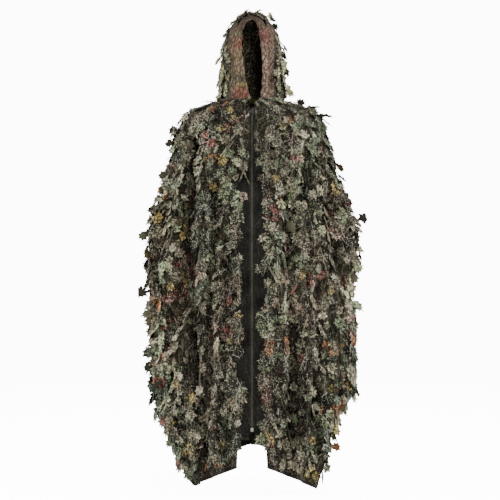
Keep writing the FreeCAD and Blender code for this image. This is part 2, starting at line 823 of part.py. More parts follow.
# The retaining box closes round the ends of both sides; its socket is open at the top.
box_outer = zip_box(
    "box_outer",
    "-sizes.coil_start - sizes.coil_width - sizes.slide_clear - sizes.box_wall",
    "-sizes.coil_thick / 2 - sizes.slide_clear - sizes.box_wall",
    "-(sizes.zip_top + sizes.zip_length)",
    "2 * (sizes.coil_start + sizes.coil_width + sizes.slide_clear + sizes.box_wall)",
    "sizes.coil_thick + 2 * (sizes.slide_clear + sizes.box_wall)",
    "sizes.box_length - sizes.hair",
)
box_socket = zip_box(
    "box_socket",
    "-sizes.coil_start - sizes.coil_width - sizes.slide_clear",
    "-sizes.coil_thick / 2 - sizes.slide_clear",
    "-(sizes.zip_top + sizes.zip_length) + sizes.box_wall",
    "sizes.coil_width + 2 * sizes.slide_clear",
    "sizes.coil_thick + 2 * sizes.slide_clear",
    "sizes.box_length",
)
slot_word = "sizes.tape_cloth + 2 * sizes.slide_clear"
box_slot = zip_box(
    "box_slot",
    "-sizes.coil_start - sizes.coil_width - sizes.box_wall - sizes.overcut",
    "-sizes.tape_cloth / 2 - sizes.slide_clear",
    "-(sizes.zip_top + sizes.zip_length) - sizes.overcut",
    "sizes.box_wall + 2 * sizes.overcut",
    slot_word,
    "sizes.box_length + 2 * sizes.overcut",
)
box_slot_left = zip_box(
    "box_slot_left",
    "sizes.coil_start + sizes.coil_width",
    "-sizes.tape_cloth / 2 - sizes.slide_clear",
    "-(sizes.zip_top + sizes.zip_length) - sizes.overcut",
    "sizes.box_wall + 2 * sizes.overcut",
    slot_word,
    "sizes.box_length + 2 * sizes.overcut",
)
cut = box_outer
for tool in (box_socket, box_slot, box_slot_left):
    step = doc.addObject("Part::Cut", f"{tool.Name}_cut")
    step.Base, step.Tool = cut, tool
    cut = step
leant(cut, "zip_retaining_box")


# ---------------------------------------------------------------- slider and pull tab


def plane(body, role):
    return next(f for f in body.Origin.OriginFeatures if f.Role == role)


def add_sketch(body, name, role, rectangles, offset=None):
    """A sketch of rectangles, each given by expressions for its low and high corners."""
    sketch = body.newObject("Sketcher::SketchObject", name)
    sketch.AttachmentSupport = [(plane(body, role), "")]
    sketch.MapMode = "FlatFace"
    if offset:
        sketch.setExpression("AttachmentOffset.Base.z", offset)
    for x0, y0, x1, y1 in rectangles:
        first = sketch.GeometryCount
        corners = [(0, 0), (1, 0), (1, 1), (0, 1)]
        for k in range(4):
            a, b = corners[k], corners[(k + 1) % 4]
            sketch.addGeometry(Part.LineSegment(V(*a, 0), V(*b, 0)), False)
        for k in range(4):
            after = first + (k + 1) % 4
            sketch.addConstraint(Sketcher.Constraint("Coincident", first + k, 2, after, 1))
            kind = "Horizontal" if k % 2 == 0 else "Vertical"
            sketch.addConstraint(Sketcher.Constraint(kind, first + k))
        for kind, corner, word in (
            ("DistanceX", (first, 1), x0),
            ("DistanceY", (first, 1), y0),
            ("DistanceX", (first + 2, 1), x1),
            ("DistanceY", (first + 2, 1), y1),
        ):
            start = 0.0 if corner[0] == first else 1.0
            index = sketch.addConstraint(Sketcher.Constraint(kind, -1, 1, *corner, start))
            sketch.setExpression(f"Constraints[{index}]", word)
    return sketch


def add_pad(body, name, sketch, length):
    pad = body.newObject("PartDesign::Pad", name)
    pad.Profile = sketch
    pad.setExpression("Length", length)
    sketch.Visibility = False
    return pad


def body_solid(label):
    return doc.addObject("PartDesign::Body", f"{label}_design")


# The slider: two wings joined by a post between the coils, with flanges that turn in to the tapes.
IN = "sizes.coil_thick / 2 + sizes.slide_clear"
OUT = f"{IN} + sizes.slider_wing"
SLOT = "sizes.tape_cloth / 2 + sizes.slide_clear"
TRACK = "sizes.coil_start + sizes.coil_width + sizes.slide_clear"
HALF_POST = "sizes.coil_start - sizes.slide_clear"
EDGE = "sizes.slider_half"
WELD = "sizes.weld"

slider = body_solid("slider")
front_wing = add_sketch(slider, "front_wing", "XY_Plane", [(f"-{EDGE}", f"-({OUT})", EDGE, f"-({IN})")])
add_pad(slider, "front_wing_pad", front_wing, "sizes.slider_length")
post = add_sketch(
    slider,
    "post",
    "XY_Plane",
    [(f"-({HALF_POST})", f"-({IN}) - {WELD}", HALF_POST, f"{IN} + {WELD}")],
    "sizes.slider_length - sizes.post_length",
)
add_pad(slider, "post_pad", post, "sizes.post_length")
rear_wing = add_sketch(slider, "rear_wing", "XY_Plane", [(f"-{EDGE}", IN, EDGE, OUT)])
add_pad(slider, "rear_wing_pad", rear_wing, "sizes.slider_length")
flanges = add_sketch(
    slider,
    "flanges",
    "XY_Plane",
    [
        (TRACK, SLOT, EDGE, f"{IN} + {WELD}"),
        (TRACK, f"-({IN}) - {WELD}", EDGE, f"-({SLOT})"),
        (f"-{EDGE}", SLOT, f"-({TRACK})", f"{IN} + {WELD}"),
        (f"-{EDGE}", f"-({IN}) - {WELD}", f"-({TRACK})", f"-({SLOT})"),
    ],
)
add_pad(slider, "flange_pad", flanges, "sizes.slider_length")
slider.Placement = FreeCAD.Placement(V(0, 0, -slider_middle - size("slider_length") / 2), FreeCAD.Rotation())
leant(slider, "slider_body")

# The bridge stands on the front wing, and the pull tab's cross bar turns under it.
window = 2 * (size("pin_radius") + size("tab_clear"))
wing_face = -(size("coil_thick") / 2 + size("slide_clear") + size("slider_wing"))
bridge = body_solid("bridge")
WINDOW = "2 * (sizes.pin_radius + sizes.tab_clear)"
HALF = "sizes.bridge_half"
leg = [(f"-{HALF}", f"-({WINDOW}) - sizes.bridge_bar", HALF, "-sizes.hair")]
bar = [(f"-{HALF}", f"-({WINDOW}) - sizes.bridge_bar", HALF, f"-({WINDOW})")]
lower_leg = add_sketch(bridge, "lower_leg", "XY_Plane", leg)
add_pad(bridge, "lower_leg_pad", lower_leg, "sizes.bridge_bar")
add_pad(bridge, "bar_pad", add_sketch(bridge, "bridge_bar", "XY_Plane", bar), "sizes.bridge_length")
upper_leg = add_sketch(bridge, "upper_leg", "XY_Plane", leg, "sizes.bridge_length - sizes.bridge_bar")
add_pad(bridge, "upper_leg_pad", upper_leg, "sizes.bridge_bar")
bridge_low = -slider_middle - size("bridge_length") / 2
bridge.Placement = FreeCAD.Placement(V(0, wing_face, bridge_low), FreeCAD.Rotation())
leant(bridge, "slider_bridge")

# The pull tab hangs from its cross bar: two arms, a plate with a slot, and the bar between the arms.
pivot = V(0, wing_face - window / 2, bridge_low + size("bridge_bar") + window / 2 + size("tab_clear"))
tab = body_solid("tab")
inner = "sizes.bridge_half + sizes.tab_clear"
outer = f"{inner} + sizes.tab_arm"
ARM = "sizes.bridge_length + sizes.tab_clear"
THIN = "sizes.tab_thick / 2"
arms = add_sketch(
    tab,
    "tab_arms",
    "XY_Plane",
    [
        (inner, f"-{THIN}", outer, THIN),
        (f"-({outer})", f"-{THIN}", f"-({inner})", THIN),
    ],
    f"-({ARM})",
)
plate = add_sketch(
    tab,
    "tab_plate",
    "XY_Plane",
    [("-sizes.tab_half", f"-{THIN}", "sizes.tab_half", THIN)],
    f"-({ARM}) - sizes.tab_length",
)
add_pad(tab, "plate_pad", plate, "sizes.tab_length")
add_pad(tab, "arm_pad", arms, ARM)
bar_sketch = tab.newObject("Sketcher::SketchObject", "cross_bar")
bar_sketch.AttachmentSupport = [(plane(tab, "YZ_Plane"), "")]
bar_sketch.MapMode = "FlatFace"
bar_sketch.addGeometry(Part.Circle(V(0, 0, 0), V(0, 0, 1), 1.0), False)
bar_sketch.addConstraint(Sketcher.Constraint("Coincident", 0, 3, -1, 1))
radius = bar_sketch.addConstraint(Sketcher.Constraint("Radius", 0, 1.0))
bar_sketch.setExpression(f"Constraints[{radius}]", "sizes.pin_radius")
cross_bar = add_pad(tab, "cross_bar_pad", bar_sketch, f"2 * ({outer})")
cross_bar.Midplane = True
hole = add_sketch(
    tab,
    "tab_slot",
    "XZ_Plane",
    [
        (
            "-sizes.tab_half / 3",
            "-(sizes.bridge_length + sizes.tab_length) + sizes.tab_hole_end",
            "sizes.tab_half / 3",
            "-(sizes.bridge_length + sizes.tab_length) + sizes.tab_hole_end + sizes.tab_hole",
        )
    ],
)
cut_slot = tab.newObject("PartDesign::Pocket", "slot_pocket")
cut_slot.Profile = hole
cut_slot.Type = 1
cut_slot.Midplane = True
tab.Tip = cut_slot
tab.Placement = FreeCAD.Placement(pivot, FreeCAD.Rotation())
leant(tab, "pull_tab")


# ---------------------------------------------------------------- hanging loop

loop = body_solid("loop")
arc = loop.newObject("Sketcher::SketchObject", "loop_outline")
arc.AttachmentSupport = [(plane(loop, "XZ_Plane"), "")]
arc.MapMode = "FlatFace"
outer_r, inner_r = size("loop_radius"), size("loop_radius") - size("loop_cloth")
for r in (outer_r, inner_r):
    circle = Part.Circle(V(0, 0, 0), V(0, 0, 1), r)
    arc.addGeometry(Part.ArcOfCircle(circle, math.pi, 2 * math.pi), False)
arc.addGeometry(Part.LineSegment(V(-outer_r, 0, 0), V(-inner_r, 0, 0)), False)
arc.addGeometry(Part.LineSegment(V(inner_r, 0, 0), V(outer_r, 0, 0)), False)
for a, b in (((0, 1), (2, 1)), ((2, 2), (1, 1)), ((1, 2), (3, 1)), ((3, 2), (0, 2))):
    arc.addConstraint(Sketcher.Constraint("Coincident", *a, *b))
for k in (0, 1):
    arc.addConstraint(Sketcher.Constraint("Coincident", k, 3, -1, 1))
for k in (2, 3):
    arc.addConstraint(Sketcher.Constraint("Horizontal", k))
arc.addConstraint(Sketcher.Constraint("PointOnObject", 2, 1, -1))
for k, word in ((0, "sizes.loop_radius"), (1, "sizes.loop_radius - sizes.loop_cloth")):
    index = arc.addConstraint(Sketcher.Constraint("Radius", k, (outer_r, inner_r)[k]))
    arc.setExpression(f"Constraints[{index}]", word)
add_pad(loop, "loop_pad", arc, "sizes.loop_width")
doc.recompute()
loop_solid = doc.addObject("Part::Feature", "hanging_loop")
shape = loop.Shape.copy()
tape_face = size("neck_back") - CLOTH - size("inner_clear") - size("tape_cloth")
shape.translate(V(0, tape_face - size("inner_clear") - shape.BoundBox.YMax, -size("slide_clear")))
loop_solid.Shape = shape
keep(loop_solid, "hanging_loop")


# ---------------------------------------------------------------- check and write

doc.recompute()
for item in doc.Objects:
    if any(word in ("Invalid", "Error") for word in item.State):
        raise RuntimeError(f"{item.Label} failed to build")
os.makedirs("parts", exist_ok=True)
for piece in pieces:
    if piece.Shape.isNull() or not piece.Shape.isValid():
        raise RuntimeError(f"{piece.Label} is not a valid shape")
    piece.Shape.exportStep(f"parts/{piece.Label}.step")
print(len(pieces), "pieces,", f"{sum(p.Shape.Volume for p in pieces) / 1000:.0f} cubic centimetres")
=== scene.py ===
"""Looks of the hooded leaf-covered camouflage poncho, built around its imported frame."""

import json
import math

import bpy
import numpy as np
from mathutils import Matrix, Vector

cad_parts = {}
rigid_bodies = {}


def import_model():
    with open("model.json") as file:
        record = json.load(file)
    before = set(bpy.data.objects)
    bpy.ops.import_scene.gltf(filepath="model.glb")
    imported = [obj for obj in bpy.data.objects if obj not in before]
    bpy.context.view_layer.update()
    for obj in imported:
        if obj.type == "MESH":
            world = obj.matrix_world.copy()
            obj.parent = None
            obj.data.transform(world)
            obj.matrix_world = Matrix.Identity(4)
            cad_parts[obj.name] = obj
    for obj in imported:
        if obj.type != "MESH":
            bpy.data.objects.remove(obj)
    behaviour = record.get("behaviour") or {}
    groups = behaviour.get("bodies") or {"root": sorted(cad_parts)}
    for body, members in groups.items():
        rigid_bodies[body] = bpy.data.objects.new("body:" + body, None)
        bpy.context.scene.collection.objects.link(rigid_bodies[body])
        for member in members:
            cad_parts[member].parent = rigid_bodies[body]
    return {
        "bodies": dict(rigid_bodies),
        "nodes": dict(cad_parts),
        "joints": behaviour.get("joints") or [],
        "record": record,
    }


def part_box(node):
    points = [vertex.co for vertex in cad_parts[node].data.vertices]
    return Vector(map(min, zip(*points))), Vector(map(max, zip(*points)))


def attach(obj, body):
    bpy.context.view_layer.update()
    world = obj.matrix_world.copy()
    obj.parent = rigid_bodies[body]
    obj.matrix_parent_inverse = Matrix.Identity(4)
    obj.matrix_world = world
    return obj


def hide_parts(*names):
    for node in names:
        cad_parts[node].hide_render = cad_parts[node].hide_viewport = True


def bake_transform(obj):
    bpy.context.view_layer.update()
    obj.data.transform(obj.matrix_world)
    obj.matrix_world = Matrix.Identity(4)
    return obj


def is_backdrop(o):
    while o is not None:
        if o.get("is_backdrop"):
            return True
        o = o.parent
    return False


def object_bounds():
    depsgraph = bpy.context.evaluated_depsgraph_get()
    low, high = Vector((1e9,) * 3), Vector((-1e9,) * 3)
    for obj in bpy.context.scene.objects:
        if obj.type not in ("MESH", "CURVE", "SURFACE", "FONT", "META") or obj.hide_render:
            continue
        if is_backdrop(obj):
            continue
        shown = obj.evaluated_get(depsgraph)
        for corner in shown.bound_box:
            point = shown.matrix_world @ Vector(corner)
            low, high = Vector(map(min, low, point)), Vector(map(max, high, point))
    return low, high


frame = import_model()
cad_low, cad_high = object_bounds()
rng = np.random.default_rng(751)

# ---------------------------------------------------------------- sizes, in metres, as in the CAD

CAPE_RINGS = np.array(
    [  # drop, half width, depth behind the origin, power of the outline
        (0.000, 0.116, 0.118, 2.0),
        (0.020, 0.188, 0.124, 2.6),
        (0.062, 0.246, 0.134, 2.6),
        (0.150, 0.282, 0.148, 2.6),
        (0.330, 0.320, 0.166, 2.6),
        (0.560, 0.366, 0.186, 2.6),
        (0.730, 0.336, 0.198, 2.6),
        (1.000, 0.332, 0.216, 2.6),
        (1.318, 0.226, 0.232, 2.6),
        (1.400, 0.200, 0.236, 2.6),
    ]
)
THROAT_DEPTH, LEAN = 0.118, math.tan(math.radians(4.4))
SEAM_SHARE = 0.78
PANEL_EDGE, FOLD_X, NOTCH_HALF, NOTCH_STEP = 0.0085, 0.1015, 0.046, 0.050
YOKE_HEM, FRONT_TOP, SLOT_HALF = 0.0262, 0.0268, 0.031
FRONT_HEM, LOBE_HEM, SEAM_HEM = 1.146, 1.240, 1.296
HAND_TOP, HAND_LENGTH, HAND_ANGLE = 0.575, 0.150, 6.0
HOOD_HALF, HOOD_DEPTH, HOOD_RISE = 0.113, 0.117, 0.306
CROWN_HALF, BROW_SHARE = 0.052, 0.95
ZIP_TOP, ZIP_END, ZIP_INSET = 0.030, 1.130, 0.0024
SIDES = ((1, "left"), (-1, "right"))


def smooth(value, low, high):
    t = np.clip((value - low) / (high - low), 0.0, 1.0)
    return t * t * (3 - 2 * t)


def ring(drop):
    """Half width, front depth, back depth and power of the cape's outline at a drop."""
    drop = np.maximum(drop, 0.0)
    half, back, power = (np.interp(drop, CAPE_RINGS[:, 0], CAPE_RINGS[:, k]) for k in (1, 2, 3))
    return half, THROAT_DEPTH + LEAN * drop, back, power


def cape_point(drop, angle):
    half, front, back, power = ring(drop)
    s, c = np.sin(np.radians(angle)), np.cos(np.radians(angle))
    depth = np.where(c > 0, front, back)
    x = half * np.sign(s) * np.abs(s) ** (2 / power)
    y = -depth * np.sign(c) * np.abs(c) ** (2 / power)
    return np.stack([x, y, -drop * np.ones_like(x)], -1)


def cape_normal(drop, angle):
    around = cape_point(drop, angle + 1.0) - cape_point(drop, angle - 1.0)
    down = cape_point(drop + 0.002, angle) - cape_point(np.maximum(drop - 0.002, 0.0), angle)
    normal = np.cross(down, around)
    return normal / np.linalg.norm(normal, axis=-1, keepdims=True)


def angle_at(drop, x):
    half, _, _, power = ring(drop)
    return np.degrees(np.arcsin(np.minimum(x / half, 1.0) ** (power / 2)))


def seam_x(drop):
    return SEAM_SHARE * ring(drop)[0]


def front_hem(x):
    knots = [0.0, NOTCH_HALF, NOTCH_STEP, float(seam_x(LOBE_HEM))]
    return np.interp(x, knots, [FRONT_HEM, FRONT_HEM, LOBE_HEM, SEAM_HEM])


SEAM_ANGLE = float(angle_at(LOBE_HEM, seam_x(LOBE_HEM)))


def round_hem(angle):
    knots = [SEAM_ANGLE, 64.0, 90.0, 116.0, 180.0]
    return np.interp(angle, knots, [SEAM_HEM, 1.318, 1.012, 1.290, 1.205])


def valley(x, drop, line, width):
    """1 on a line of (drop, x) knots down the cape, falling to 0 beside it and past its ends."""
    drops, xs = zip(*line)
    middle = np.interp(drop, drops, xs)
    along = smooth(drop, drops[0] - 0.03, drops[0] + 0.05) * (1 - smooth(drop, drops[-1] - 0.1, drops[-1]))
    return np.exp(-(((x - middle) / width) ** 2)) * along


# Folds that run down from the shoulders, and shorter ones lower down: (drop, x) knots, width, depth.
FRONT_FOLDS = [
    ([(0.08, -0.190), (0.31, -0.216), (0.48, -0.232), (0.82, -0.262)], 0.024, 0.062),
    ([(0.16, 0.215), (0.30, 0.272), (0.46, 0.290), (0.70, 0.316)], 0.021, 0.050),
    ([(0.26, -0.120), (0.60, -0.140), (1.16, -0.155)], 0.022, 0.050),
    ([(0.30, 0.118), (0.70, 0.132), (1.20, 0.150)], 0.020, 0.046),
    ([(0.46, -0.200), (0.80, -0.200), (1.26, -0.184)], 0.026, 0.060),
    ([(0.60, 0.225), (0.86, 0.232), (1.22, 0.215)], 0.020, 0.046),
    ([(0.62, 0.070), (0.95, 0.084), (1.20, 0.096)], 0.016, 0.034),
    ([(0.44, -0.080), (0.86, -0.084), (1.20, -0.096)], 0.016, 0.034),
    ([(0.20, 0.170), (0.52, 0.205), (0.84, 0.190)], 0.018, 0.036),
    ([(0.74, -0.290), (0.98, -0.275), (1.20, -0.240)], 0.018, 0.036),
]


SETTLE_DROPS = np.linspace(0.0, 1.20, 56)
SETTLE_ANGLES = np.arange(0.0, 360.0, 3.0)


def settle():
    """Hangs a slightly over-long tube of cloth from the shoulders in a cloth simulation, and returns
    how far each point of it ends up outside the plain cape."""
    drop, angle = SETTLE_DROPS[:, None], SETTLE_ANGLES[None, :]
    start, normal = cape_point(drop, angle), cape_normal(drop, angle)
    rows, columns = start.shape[:2]
    points = (start + normal * rng.normal(0, 0.0006, (rows, columns, 1))).reshape(-1, 3)
    faces = [
        (r * columns + c, (r + 1) * columns + c, (r + 1) * columns + (c + 1) % columns, r * columns + (c + 1) % columns)
        for r in range(rows - 1)
        for c in range(columns)
    ]
    mesh = bpy.data.meshes.new("settling")
    mesh.from_pydata([tuple(p) for p in points], [], faces)
    hung = bpy.data.objects.new("settling", mesh)
    bpy.context.scene.collection.objects.link(hung)
    held = hung.vertex_groups.new(name="held")
    for r in range(rows):
        grip = 1.0 if SETTLE_DROPS[r] < 0.06 else 0.10
        held.add(list(range(r * columns, (r + 1) * columns)), grip, "REPLACE")
    simulated = hung.modifiers.new("hang", "CLOTH")
    simulated.settings.quality = 5
    simulated.settings.mass = 0.25
    simulated.settings.tension_stiffness = 12
    simulated.settings.compression_stiffness = 12
    simulated.settings.bending_stiffness = 0.08
    simulated.settings.shrink_min = -0.045
    simulated.settings.vertex_group_mass = "held"
    simulated.settings.pin_stiffness = 0.6
    simulated.collision_settings.use_collision = False
    simulated.point_cache.frame_start, simulated.point_cache.frame_end = 1, SETTLE_FRAMES
    for frame in range(1, SETTLE_FRAMES + 1):
        bpy.context.scene.frame_set(frame)
    result = hung.evaluated_get(bpy.context.evaluated_depsgraph_get()).to_mesh()
    ended = np.empty(rows * columns * 3, np.float32)
    result.vertices.foreach_get("co", ended)
    bpy.data.objects.remove(hung)
    bpy.data.meshes.remove(mesh)
    bpy.context.scene.frame_set(1)
    moved = ((ended.reshape(rows, columns, 3) - start) * normal).sum(-1)
    return np.clip(moved - moved.mean(1, keepdims=True), -0.016, 0.010)


SETTLE_FRAMES = 16
SETTLED = settle()


def hung_out(drop, angle, side):
    """The simulated swing of the cloth at a drop and an angle."""
    r = np.interp(drop + 0 * angle, SETTLE_DROPS, np.arange(len(SETTLE_DROPS)))
    turn = np.mod(side * angle + 0 * drop, 360.0) / 3.0
    r0, c0 = np.minimum(r.astype(int), len(SETTLE_DROPS) - 2), np.floor(turn).astype(int)
    fr, fc, count = r - r0, turn - c0, len(SETTLE_ANGLES)
    c0, c1 = c0 % count, (c0 + 1) % count
    upper = SETTLED[r0, c0] * (1 - fc) + SETTLED[r0, c1] * fc
    lower = SETTLED[r0 + 1, c0] * (1 - fc) + SETTLED[r0 + 1, c1] * fc
    return upper * (1 - fr) + lower * fr


def folds(drop, angle, side):
    """How far the hanging cloth stands out from the plain cape, negative where it folds in."""
    x = cape_point(drop, angle)[..., 0] * side
    signed = side * angle
    grow = smooth(drop, 0.05, 0.55)
    phase = np.radians(signed * 13.5 + 50 * np.sin(2.6 * drop + 0.9 * side))
    quick = np.radians(signed * 25.0 + 90 * np.sin(1.7 * drop + 2.0) + 40)
    offset = grow * (0.0115 * np.sin(phase) + 0.0055 * np.sin(quick) - 0.008)
    offset = offset + hung_out(drop, angle, side) * smooth(drop, 0.02, 0.12)
    elbow = np.exp(-(((drop - 0.43) / 0.13) ** 2)) * np.clip(np.sin(np.radians(angle)), 0, 1) ** 4
    offset = offset + 0.027 * elbow
    front = angle < 95
    for line, width, depth in FRONT_FOLDS:
        offset = offset - np.where(front, depth * valley(x, drop, line, width), 0.0)
    back_phase = np.radians(signed * 17.0 + 40 * np.sin(2.1 * drop))
    offset = offset - np.where(angle > 100, 0.012 * grow * np.abs(np.sin(back_phase)) ** 3, 0.0)
    calm = np.where(angle < 90, smooth(np.abs(x), 0.040, 0.120), 1.0)
    return offset * calm


def hand_gap(drop):
    share = (drop - HAND_TOP) / HAND_LENGTH
    inside = (share > 0) & (share < 1)
    return 0.25 + np.where(inside, HAND_ANGLE * np.sqrt(np.sin(np.pi * np.clip(share, 0, 1))), 0.0)


# ---------------------------------------------------------------- grids of cloth


def normals_of(points):
    down = np.gradient(points, axis=0)
    across = np.gradient(points, axis=1)
    normal = np.cross(down, across)
    length = np.linalg.norm(normal, axis=-1, keepdims=True)
    return normal / np.maximum(length, 1e-9)


def cape_grid(angle_of, hem_of, top, shares, rows, side):
    """Points of a hanging panel: rows from its top to its hem, columns at the shares."""
    shares = np.asarray(shares)[None, :]
    steps = np.linspace(0.0, 1.0, rows)[:, None]
    drop = top + (hem_of(shares) - top) * steps
    angle = angle_of(drop, shares)
    points = cape_point(drop, angle) + cape_normal(drop, angle) * folds(drop, angle, side)[..., None]
    points[..., 0] *= side
    return points


EDGE_XS = np.array([0.0085, 0.015, 0.024, 0.035, 0.0458, 0.0502, 0.060, 0.070, 0.080, 0.091])
FRONT_COLUMNS = 18


def front_x(drop, share):
    """x at a column of a front: the first columns stay beside the zip, the others reach the seam."""
    return np.where(
        share < 1,
        np.interp(share, np.linspace(0, 1, len(EDGE_XS) + 1), np.append(EDGE_XS, FOLD_X)),
        FOLD_X + (seam_x(drop) - FOLD_X) * (share - 1),
    )


FRONT_SHARES = np.append(np.linspace(0, 1, len(EDGE_XS) + 1)[:-1], np.linspace(1, 2, FRONT_COLUMNS))


def front_angle(drop, share):
    return angle_at(drop, front_x(drop, share))


def front_hem_at(share):
    return front_hem(front_x(LOBE_HEM * np.ones_like(share), share))


def yoke_angle(drop, share):
    throat = SLOT_HALF + (PANEL_EDGE - SLOT_HALF) * np.clip(drop / YOKE_HEM, 0, 1)
    return angle_at(drop, throat + (seam_x(drop) - throat) * share)


def sleeve_angle(rear):
    def angle(drop, share):
        start = angle_at(drop, seam_x(drop))
        value = start + (90.0 - hand_gap(drop) - start) * share
        return 180.0 - value if rear else value

    return angle


def sleeve_hem(rear):
    def hem(share):
        guess = SEAM_ANGLE + (90.0 - SEAM_ANGLE) * share
        return round_hem(180.0 - guess if rear else guess)

    return hem


def back_angle(drop, share):
    start = 180.0 - angle_at(drop, seam_x(drop))
    return start + (180.1 - start) * share


def back_hem(share):
    return round_hem(180.0 - SEAM_ANGLE + SEAM_ANGLE * share)


# ---------------------------------------------------------------- making meshes


def new_mesh(name, points, faces, smooth_shading=True):
    mesh = bpy.data.meshes.new(name)
    mesh.from_pydata([tuple(p) for p in points], [], faces)
    mesh.update()
    if smooth_shading:
        mesh.polygons.foreach_set("use_smooth", [True] * len(mesh.polygons))
    made = bpy.data.objects.new(name, mesh)
    bpy.context.scene.collection.objects.link(made)
    return made


def grid_faces(rows, columns, flip):
    r, c = np.meshgrid(np.arange(rows - 1), np.arange(columns - 1), indexing="ij")
    a = (r * columns + c).ravel()
    quads = np.stack([a, a + columns, a + columns + 1, a + 1], -1)
    if flip:
        quads = quads[:, ::-1]
    return quads.tolist()


def cloth(name, points, material, flip=False):
    rows, columns = points.shape[:2]
    made = new_mesh(name, points.reshape(-1, 3), grid_faces(rows, columns, flip))
    made.data.materials.append(material)
    return made


def band(name, points, thick, material):
    """A thin closed strip over a grid of points, thick to both sides of it."""
    normal = normals_of(points)
    rows, columns = points.shape[:2]
    count = rows * columns
    both = np.concatenate([(points + normal * thick / 2).reshape(-1, 3), (points - normal * thick / 2).reshape(-1, 3)])
    faces = grid_faces(rows, columns, False)
    faces += [[v + count for v in reversed(f)] for f in faces]
    rim = [(0, c) for c in range(columns - 1)] + [(r, columns - 1) for r in range(rows - 1)]
    rim += [(rows - 1, c) for c in range(columns - 1, 0, -1)] + [(r, 0) for r in range(rows - 1, 0, -1)]
    index = [r * columns + c for r, c in rim]
    for a, b in zip(index, index[1:] + index[:1]):
        faces.append([a, b, b + count, a + count])
    made = new_mesh(name, both, faces)
    made.data.materials.append(material)
    return made


# ---------------------------------------------------------------- materials


def colour(code):
    """Linear RGBA of a six-digit sRGB colour."""
    parts = [int(code[k : k + 2], 16) / 255 for k in (0, 2, 4)]
    return [p / 12.92 if p <= 0.04045 else ((p + 0.055) / 1.055) ** 2.4 for p in parts] + [1.0]


class Nodes:
    """A short way to build a material's node tree."""

    def __init__(self, name):
        self.material = bpy.data.materials.new(name)
        self.material.use_nodes = True
        self.tree = self.material.node_tree
        self.surface = self.tree.nodes["Principled BSDF"]
        self.surface.inputs["Roughness"].default_value = 0.9
        self.surface.inputs["Specular IOR Level"].default_value = 0.2
        self.place = self.add("ShaderNodeTexCoord").outputs["Object"]

    def add(self, kind, **settings):
        node = self.tree.nodes.new(kind)
        for key, value in settings.items():
            setattr(node, key, value)
        return node

    def link(self, source, target):
        self.tree.links.new(source, target)

    def stretch(self, scale, turn=(0, 0, 0)):
        node = self.add("ShaderNodeMapping")
        node.inputs["Scale"].default_value = scale
        node.inputs["Rotation"].default_value = turn
        self.link(self.place, node.inputs["Vector"])
        return node.outputs["Vector"]

    def noise(self, scale, detail=3.0, rough=0.6, place=None):
        node = self.add("ShaderNodeTexNoise")
        node.inputs["Scale"].default_value = scale
        node.inputs["Detail"].default_value = detail
        node.inputs["Roughness"].default_value = rough
        self.link(place or self.place, node.inputs["Vector"])
        return node.outputs["Fac"]

    def cracks(self, scale, place=None):
        node = self.add("ShaderNodeTexVoronoi", feature="DISTANCE_TO_EDGE")
        node.inputs["Scale"].default_value = scale
        self.link(place or self.place, node.inputs["Vector"])
        return node.outputs["Distance"]

    def ramp(self, value, stops):
        node = self.add("ShaderNodeValToRGB")
        marks = node.color_ramp.elements
        while len(marks) < len(stops):
            marks.new(0.5)
        for mark, (at, shade) in zip(marks, stops):
            mark.position = at
            mark.color = colour(shade) if isinstance(shade, str) else [shade] * 3 + [1.0]
        self.link(value, node.inputs["Fac"])
        return node.outputs["Color"]

    def mix(self, share, low, high, blend="MIX"):
        node = self.add("ShaderNodeMix", data_type="RGBA", blend_type=blend)
        for value, socket in ((share, node.inputs[0]), (low, node.inputs[6]), (high, node.inputs[7])):
            if isinstance(value, (float, int, list)):
                socket.default_value = value
            else:
                self.link(value, socket)
        return node.outputs[2]

    def bump(self, height, strength, distance):
        node = self.add("ShaderNodeBump")
        node.inputs["Strength"].default_value = strength
        node.inputs["Distance"].default_value = distance
        self.link(height, node.inputs["Height"])
        self.link(node.outputs["Normal"], self.surface.inputs["Normal"])

    def weave(self, scale, strength=0.3):
        """A fine crossed bump of warp and weft."""
        warp = self.add("ShaderNodeTexWave", bands_direction="X")
        weft = self.add("ShaderNodeTexWave", bands_direction="Z")
        for wave in (warp, weft):
            wave.inputs["Scale"].default_value = scale
            wave.inputs["Distortion"].default_value = 0.4
            self.link(self.place, wave.inputs["Vector"])
        both = self.mix(0.5, warp.outputs["Color"], weft.outputs["Color"])
        self.bump(both, strength, 0.0006)

    def finish(self, result):
        self.link(result, self.surface.inputs["Base Color"])
        return self.material


def print_of(n, base, dark, light):
    """A foliage print over a base colour: blotches of shade, bright flecks, dark gaps and twigs."""
    blotch = n.ramp(n.noise(95.0, 5.0, 0.72), [(0.34, 0.05), (0.45, 0.36), (0.54, 0.85), (0.70, 1.55)])
    shaded = n.mix(1.0, base, blotch, "MULTIPLY")
    gaps = n.ramp(n.cracks(68.0), [(0.0, 1.0), (0.055, 0.75), (0.13, 0.0)])
    shaded = n.mix(gaps, shaded, dark)
    flecks = n.ramp(n.noise(260.0, 2.0, 0.5), [(0.58, 0.0), (0.70, 0.7)])
    shaded = n.mix(flecks, shaded, light)
    twig_place = n.stretch((26.0, 26.0, 5.5), (0.5, 0.35, 0.2))
    twigs = n.ramp(n.cracks(1.0, twig_place), [(0.0, 0.38), (0.010, 0.22), (0.020, 0.0)])
    return n.mix(twigs, shaded, light)


def leaf_material():
    n = Nodes("leaf_print")
    tint = n.add("ShaderNodeAttribute", attribute_name="tint").outputs["Color"]
    result = print_of(n, tint, colour("080705"), colour("b4b09b"))
    behind = n.add("ShaderNodeNewGeometry").outputs["Backfacing"]
    result = n.mix(behind, result, n.mix(0.55, tint, colour("17150f")))
    n.weave(900.0)
    n.surface.inputs["Roughness"].default_value = 0.95
    return n.finish(result)


